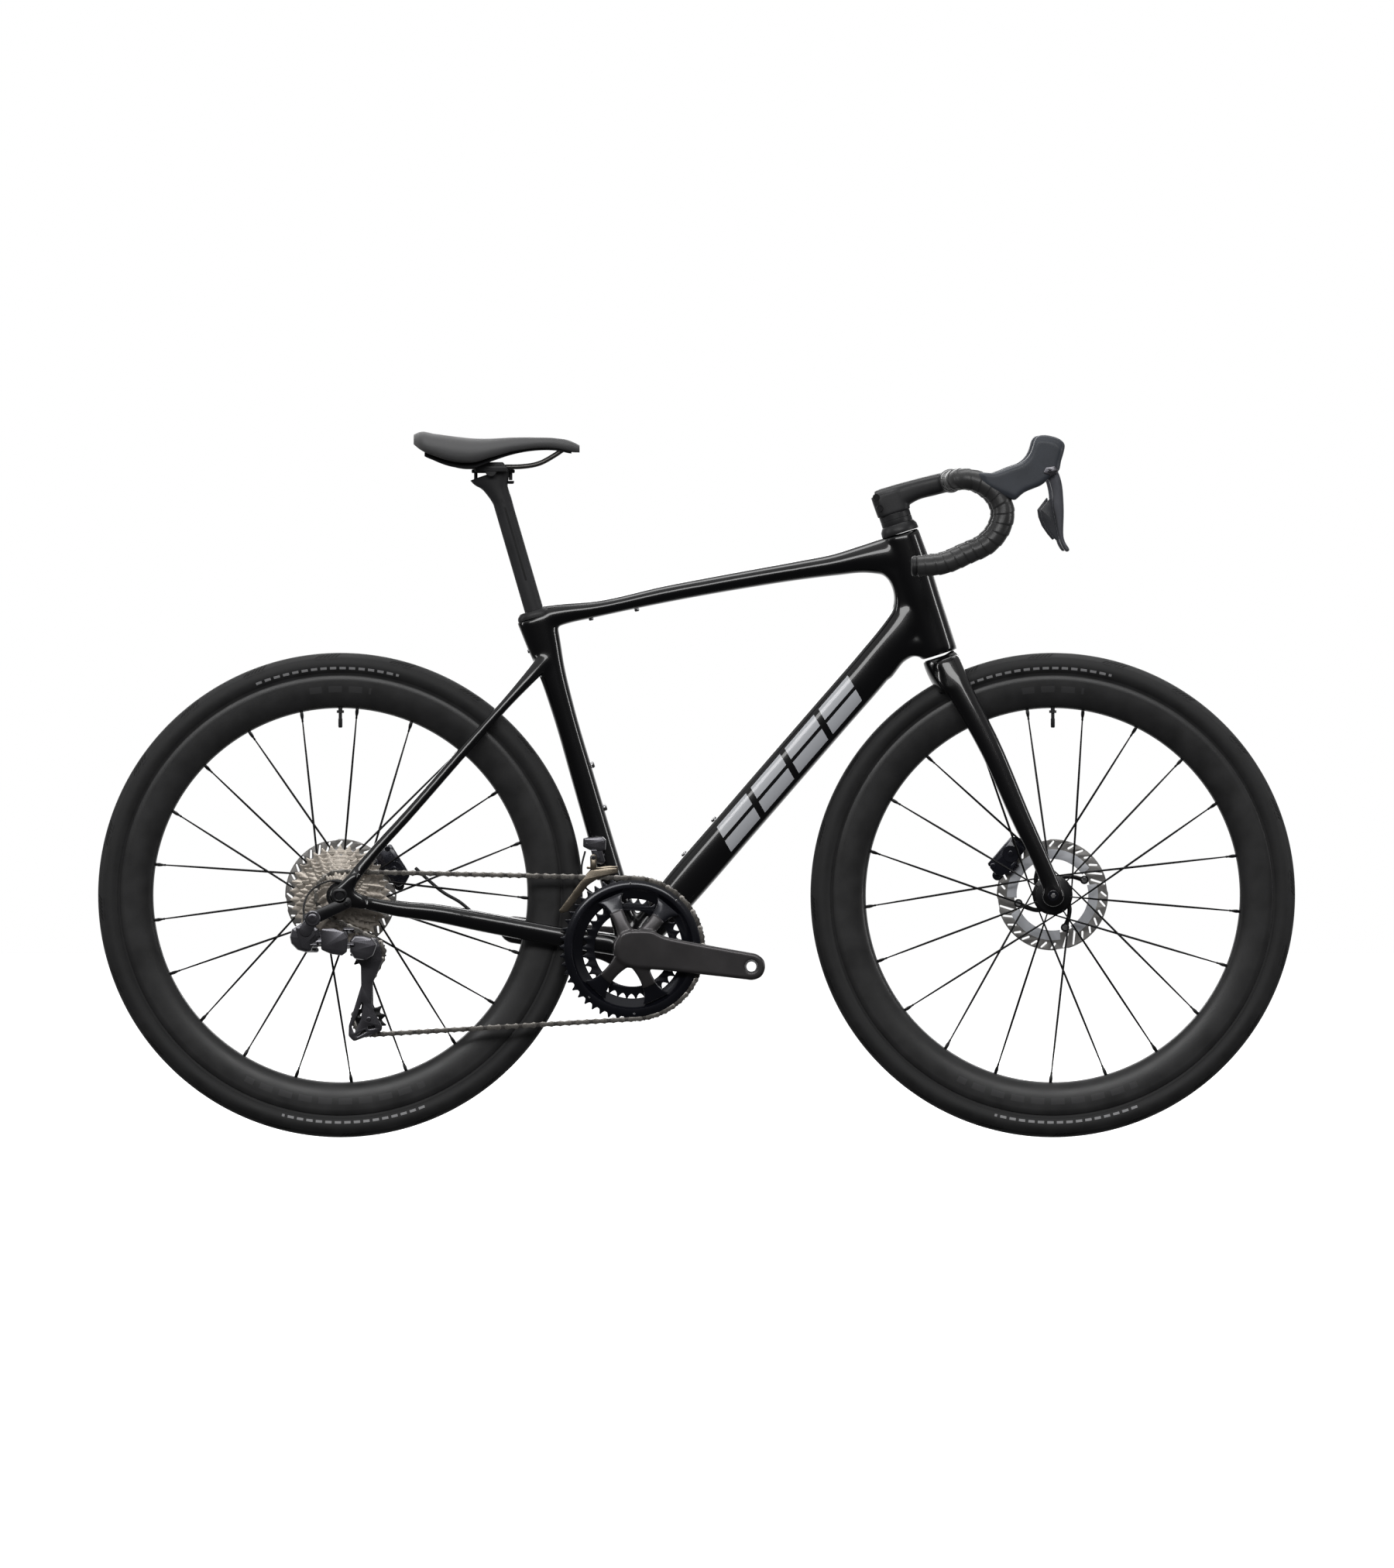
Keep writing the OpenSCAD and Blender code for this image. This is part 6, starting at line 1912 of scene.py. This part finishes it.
class ROADBIKE_OT_stage(bpy.types.Operator):
    """Places the camera, the floor, the world and the lights."""

    bl_idname = "road_bicycle.stage"
    bl_label = "Stage"

    def execute(self, context):
        sizes = context.scene.road_bicycle_sizes
        camera = bpy.data.cameras.new("side view camera")
        camera.sensor_fit = "VERTICAL"
        camera.sensor_height = SENSOR
        camera.sensor_width = SENSOR
        camera.lens = SENSOR * sizes.camera_distance / sizes.frame_height
        camera.clip_end = 300
        eye = bpy.data.objects.new("side view camera", camera)
        context.scene.collection.objects.link(eye)
        way = Vector((0, -math.cos(CAMERA_RISE), math.sin(CAMERA_RISE)))
        eye.location = Vector(CAMERA_TARGET) + way * sizes.camera_distance
        eye.rotation_euler = (math.pi / 2 - CAMERA_RISE, 0, 0)
        context.scene.camera = eye
        context.scene.view_settings.view_transform = "Standard"
        self.world(context)
        for name, at, size, power, aim in LIGHTS:
            self.softbox(context, name, at, size, power, aim)
        floor = make("floor disc", disc_skin(sizes.floor_radius / MM, BELOW_WHEELS))
        floor.data.materials.append(finish(floor_paint))
        floor.visible_glossy = False
        floor.visible_diffuse = False
        return {"FINISHED"}

    def world(self, context):
        """White where the camera sees it; light from above and dark from the side for everything else."""
        world = bpy.data.worlds.new("studio")
        context.scene.world = world
        world.use_nodes = True
        tree = world.node_tree
        tree.nodes.clear()
        out = tree.nodes.new("ShaderNodeOutputWorld")
        mix = tree.nodes.new("ShaderNodeMixShader")
        path = tree.nodes.new("ShaderNodeLightPath")
        seen = tree.nodes.new("ShaderNodeBackground")
        seen.inputs["Color"].default_value = (1, 1, 1, 1)
        seen.inputs["Strength"].default_value = 1.0
        dome = tree.nodes.new("ShaderNodeBackground")
        dome.inputs["Strength"].default_value = DOME_STRENGTH
        place = tree.nodes.new("ShaderNodeTexCoord")
        split = tree.nodes.new("ShaderNodeSeparateXYZ")
        tree.links.new(place.outputs["Generated"], split.inputs[0])
        height = remap(tree, split.outputs["Z"], 0.1, 0.95, 0.05, 0.8)
        behind = remap(tree, split.outputs["Y"], 0.35, 0.9, 0.0, 1.0)
        level = maths(tree, "MAXIMUM", height, behind)
        tree.links.new(level, dome.inputs["Color"])
        tree.links.new(path.outputs["Is Camera Ray"], mix.inputs[0])
        tree.links.new(dome.outputs[0], mix.inputs[1])
        tree.links.new(seen.outputs[0], mix.inputs[2])
        tree.links.new(mix.outputs[0], out.inputs[0])

    def softbox(self, context, name, at, size, power, aim):
        """An area light that the camera doesn't see."""
        light = bpy.data.lights.new(name, "AREA")
        light.shape = "RECTANGLE"
        light.size, light.size_y = size
        light.energy = power
        obj = bpy.data.objects.new(name, light)
        context.scene.collection.objects.link(obj)
        obj.location = at
        obj.rotation_euler = (Vector(aim) - Vector(at)).to_track_quat("-Z", "Y").to_euler()
        obj.visible_camera = False


def disc_skin(radius, z):
    """A flat disc at height z."""
    v, f = turned([(0, 0), (radius, 0)], (0, 0), 128)
    return np.stack([v[:, 0], v[:, 2], np.full(len(v), z)], 1), f


LIGHTS = [
    ("overhead softbox", (0, 0.4, 4.2), (4.5, 1.6), 62, (0, 0, 0.4)),
    ("camera side softbox", (-0.8, -6.0, 3.2), (6.0, 1.6), 130, (0, 0, 0.5)),
    ("front softbox", (4.6, -1.2, 1.4), (0.5, 2.6), 30, (0.3, 0, 0.6)),
    ("rear softbox", (-4.8, -0.8, 1.6), (0.5, 2.6), 26, (-0.3, 0, 0.5)),
    ("far side softbox", (0, 5.5, 2.6), (6.0, 2.4), 110, (0, 0, 0.4)),
]


class ROADBIKE_OT_frame(bpy.types.Operator):
    """Builds the frame's gloss skin, its seat clamp, bolts and cables."""

    bl_idname = "road_bicycle.frame"
    bl_label = "Frame"

    def execute(self, context):
        body = "frame_body"
        dress(build_frame(), body, frame_lacquer, ["frame"])
        dress(build_seat_clamp(), body, satin_black, ["seat_clamp"])
        dress(build_bolts(), body, bare_steel, ["accessory_bolts"])
        dress(build_cables(), body, satin_black, ["frame_cables"])
        dress(build_hanger(), body, black_alloy, ["derailleur_hanger"])
        return {"FINISHED"}


class ROADBIKE_OT_fork(bpy.types.Operator):
    """Builds the fork's gloss skin and the headset cover."""

    bl_idname = "road_bicycle.fork"
    bl_label = "Fork"

    def execute(self, context):
        shell, cap, socket = build_fork()
        dress(shell, "front_end", fork_lacquer, ["fork"])
        dress(cap, "front_end", ring_black)
        dress(socket, "front_end", bare_steel)
        dress(build_headset(), "front_end", satin_black, ["headset_cover"])
        return {"FINISHED"}


class ROADBIKE_OT_wheels(bpy.types.Operator):
    """Builds the tyres, rims, spokes, hubs, rotors and valves."""

    bl_idname = "road_bicycle.wheels"
    bl_label = "Wheels"

    def execute(self, context):
        for which, c in (("rear", REAR), ("front", FRONT)):
            body = which + "_wheel"
            dress(build_tyre(which, c), body, tyre_rubber, [which + "_tyre"])
            dress(build_tread(which, c), body, tread_rubber)
            dress(build_rim(which, c), body, rim_carbon, [which + "_rim"])
            dress(build_spokes(which, spoke_ends(c, *LACING[which])), body,
                spoke_steel, [which + "_spokes"])
            dress(build_hub(which, c), body, black_alloy, [which + "_hub"])
            dress(build_valve(which, c), body, satin_black, [which + "_valve"])
            track, fins, spider, rivets = build_rotor(which, c)
            dress(recentre(track, c), body, rotor_steel, [which + "_rotor"])
            dress(fins, body, rotor_alloy)
            dress(spider, body, black_alloy)
            dress(rivets, body, bare_steel)
        return {"FINISHED"}


class ROADBIKE_OT_drivetrain(bpy.types.Operator):
    """Builds the chain, cassette, chainrings and cranks."""

    bl_idname = "road_bicycle.drivetrain"
    bl_label = "Drivetrain"

    def execute(self, context):
        dark, bright = build_chain()
        dress(dark, "frame_body", chain_steel, ["chain"])
        dress(bright, "frame_body", chain_bright)
        dress(build_cassette(), "cassette", champagne, ["cassette_sprockets"])
        dress(build_freehub(), "cassette", black_alloy, ["freehub_body"])
        outer, rivets, inner = build_rings()
        dress(outer, "crankset", ring_black, ["outer_chainring"])
        dress(rivets, "crankset", bare_steel)
        dress(inner, "crankset", ring_black, ["inner_chainring"])
        right, spider, left, rims = build_cranks()
        dress(right, "crankset", crank_grey, ["right_crank_arm"])
        dress(left, "crankset", crank_grey, ["left_crank_arm"])
        dress(spider, "crankset", ring_black)
        dress(rims, "crankset", bare_steel)
        return {"FINISHED"}


class ROADBIKE_OT_derailleurs(bpy.types.Operator):
    """Builds the front and rear derailleurs."""

    bl_idname = "road_bicycle.derailleurs"
    bl_label = "Derailleurs"

    def execute(self, context):
        body, cage = build_front_mech()
        dress(body, "frame_body", gunmetal, ["front_derailleur_body"])
        dress(cage, "front_cage", bronze, ["fd_cage"])
        motor, (outer, inner), knuckle, rear_cage, (guide, tension) = build_rear_mech()
        dress(motor, "frame_body", gunmetal, ["rear_derailleur_body"])
        dress(outer, "outer_link", gunmetal, ["rd_outer_link"])
        dress(inner, "inner_link", gunmetal, ["rd_inner_link"])
        dress(knuckle, "cage_knuckle", gunmetal, ["rd_cage_knuckle"])
        dress(rear_cage, "cage", gunmetal, ["rd_cage"])
        dress(guide, "upper_pulley", black_alloy, ["guide_pulley"])
        dress(tension, "lower_pulley", black_alloy, ["tension_pulley"])
        return {"FINISHED"}


class ROADBIKE_OT_brakes(bpy.types.Operator):
    """Builds both brake calipers."""

    bl_idname = "road_bicycle.brakes"
    bl_label = "Brakes"

    def execute(self, context):
        for which, (at, angle, body) in CALIPERS.items():
            halves, details = caliper(which, at, angle, ROTOR_Y[which])
            dress(halves, body, caliper_black, [which + "_brake_caliper"])
            dress(details, body, caliper_black)
        return {"FINISHED"}


class ROADBIKE_OT_cockpit(bpy.types.Operator):
    """Builds the stem, bar, tape, hoods, levers and buttons."""

    bl_idname = "road_bicycle.cockpit"
    bl_label = "Cockpit"

    def execute(self, context):
        stem, bolts = build_stem()
        dress(stem, "front_end", satin_black, ["stem"])
        dress(bolts, "front_end", black_alloy)
        dress(build_bar(), "front_end", satin_black, ["handlebar"])
        dress(build_tape(), "front_end", bar_tape, ["handlebar_tape"])
        hoods, covers = build_hoods()
        dress(hoods, "front_end", hood_rubber, ["lever_hoods"])
        dress(covers, "front_end", gunmetal)
        for side, blade in build_levers():
            dress(blade, side + "_lever", lever_grey, [side + "_brake_lever"])
        for side, place, button in build_buttons():
            dress(button, f"{side}_button_{place}", button_rubber,
                [f"{side}_shift_button_{place}"])
        return {"FINISHED"}


class ROADBIKE_OT_seat(bpy.types.Operator):
    """Builds the seatpost, saddle clamp, saddle and rails."""

    bl_idname = "road_bicycle.seat"
    bl_label = "Seat"

    def execute(self, context):
        post, clamp = build_post()
        dress(post, "seat_post_body", post_black, ["seatpost"])
        dress(clamp, "seat_post_body", satin_black, ["saddle_clamp"])
        cover, shell = build_saddle()
        dress(cover, "saddle_body", saddle_cover, ["saddle"])
        dress(shell, "saddle_body", satin_black)
        dress(build_rails(), "saddle_body", rail_grey, ["saddle_rails"])
        return {"FINISHED"}


KEPT_NODES = {
    "frame_bearings": ("black_alloy", black_alloy), "rear_thru_axle": ("black_alloy", black_alloy),
    "front_thru_axle": ("black_alloy", black_alloy), "crank_spindle": ("bare_steel", bare_steel),
    "battery": ("satin_black", satin_black), "front_inner_pad": ("pad_grey", pad_grey),
    "front_outer_pad": ("pad_grey", pad_grey), "rear_inner_pad": ("pad_grey", pad_grey),
    "rear_outer_pad": ("pad_grey", pad_grey),
}


class ROADBIKE_OT_plain_nodes(bpy.types.Operator):
    """Gives the frame's own axles, bearings and pads their materials."""

    bl_idname = "road_bicycle.plain_nodes"
    bl_label = "Axles, bearings and pads"

    def execute(self, context):
        for name, (slot, maker) in KEPT_NODES.items():
            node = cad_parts[name]
            node.data.materials.clear()
            node.data.materials.append(finish(maker))
        return {"FINISHED"}


ORDER = (
    ROADBIKE_OT_stage, ROADBIKE_OT_frame, ROADBIKE_OT_fork, ROADBIKE_OT_wheels,
    ROADBIKE_OT_drivetrain,
    ROADBIKE_OT_derailleurs, ROADBIKE_OT_brakes, ROADBIKE_OT_cockpit, ROADBIKE_OT_seat,
    ROADBIKE_OT_plain_nodes,
)


class ROADBIKE_PT_panel(bpy.types.Panel):
    """Sizes, colours and one button for each group of pieces."""

    bl_label = "Road bicycle"
    bl_idname = "ROADBIKE_PT_panel"
    bl_space_type = "VIEW_3D"
    bl_region_type = "UI"
    bl_category = "Road bicycle"

    def draw(self, context):
        for settings in (context.scene.road_bicycle_sizes, context.scene.road_bicycle_tones):
            column = self.layout.column()
            for key in settings.bl_rna.properties.keys():
                if key not in ("rna_type", "name"):
                    column.prop(settings, key)
        for operator in ORDER:
            self.layout.operator(operator.bl_idname)


CLASSES = (RoadBicycleTones, RoadBicycleSizes, *ORDER, ROADBIKE_PT_panel)


def register():
    for c in CLASSES:
        bpy.utils.register_class(c)
    bpy.types.Scene.road_bicycle_tones = bpy.props.PointerProperty(type=RoadBicycleTones)
    bpy.types.Scene.road_bicycle_sizes = bpy.props.PointerProperty(type=RoadBicycleSizes)


def unregister():
    del bpy.types.Scene.road_bicycle_sizes
    del bpy.types.Scene.road_bicycle_tones
    for c in reversed(CLASSES):
        bpy.utils.unregister_class(c)


def main():
    register()
    steps = bpy.ops.road_bicycle
    steps.stage()
    steps.frame()
    steps.fork()
    steps.wheels()
    steps.drivetrain()
    steps.derailleurs()
    steps.brakes()
    steps.cockpit()
    steps.seat()
    steps.plain_nodes()
    bpy.context.view_layer.update()


if __name__ == "__main__":
    main()
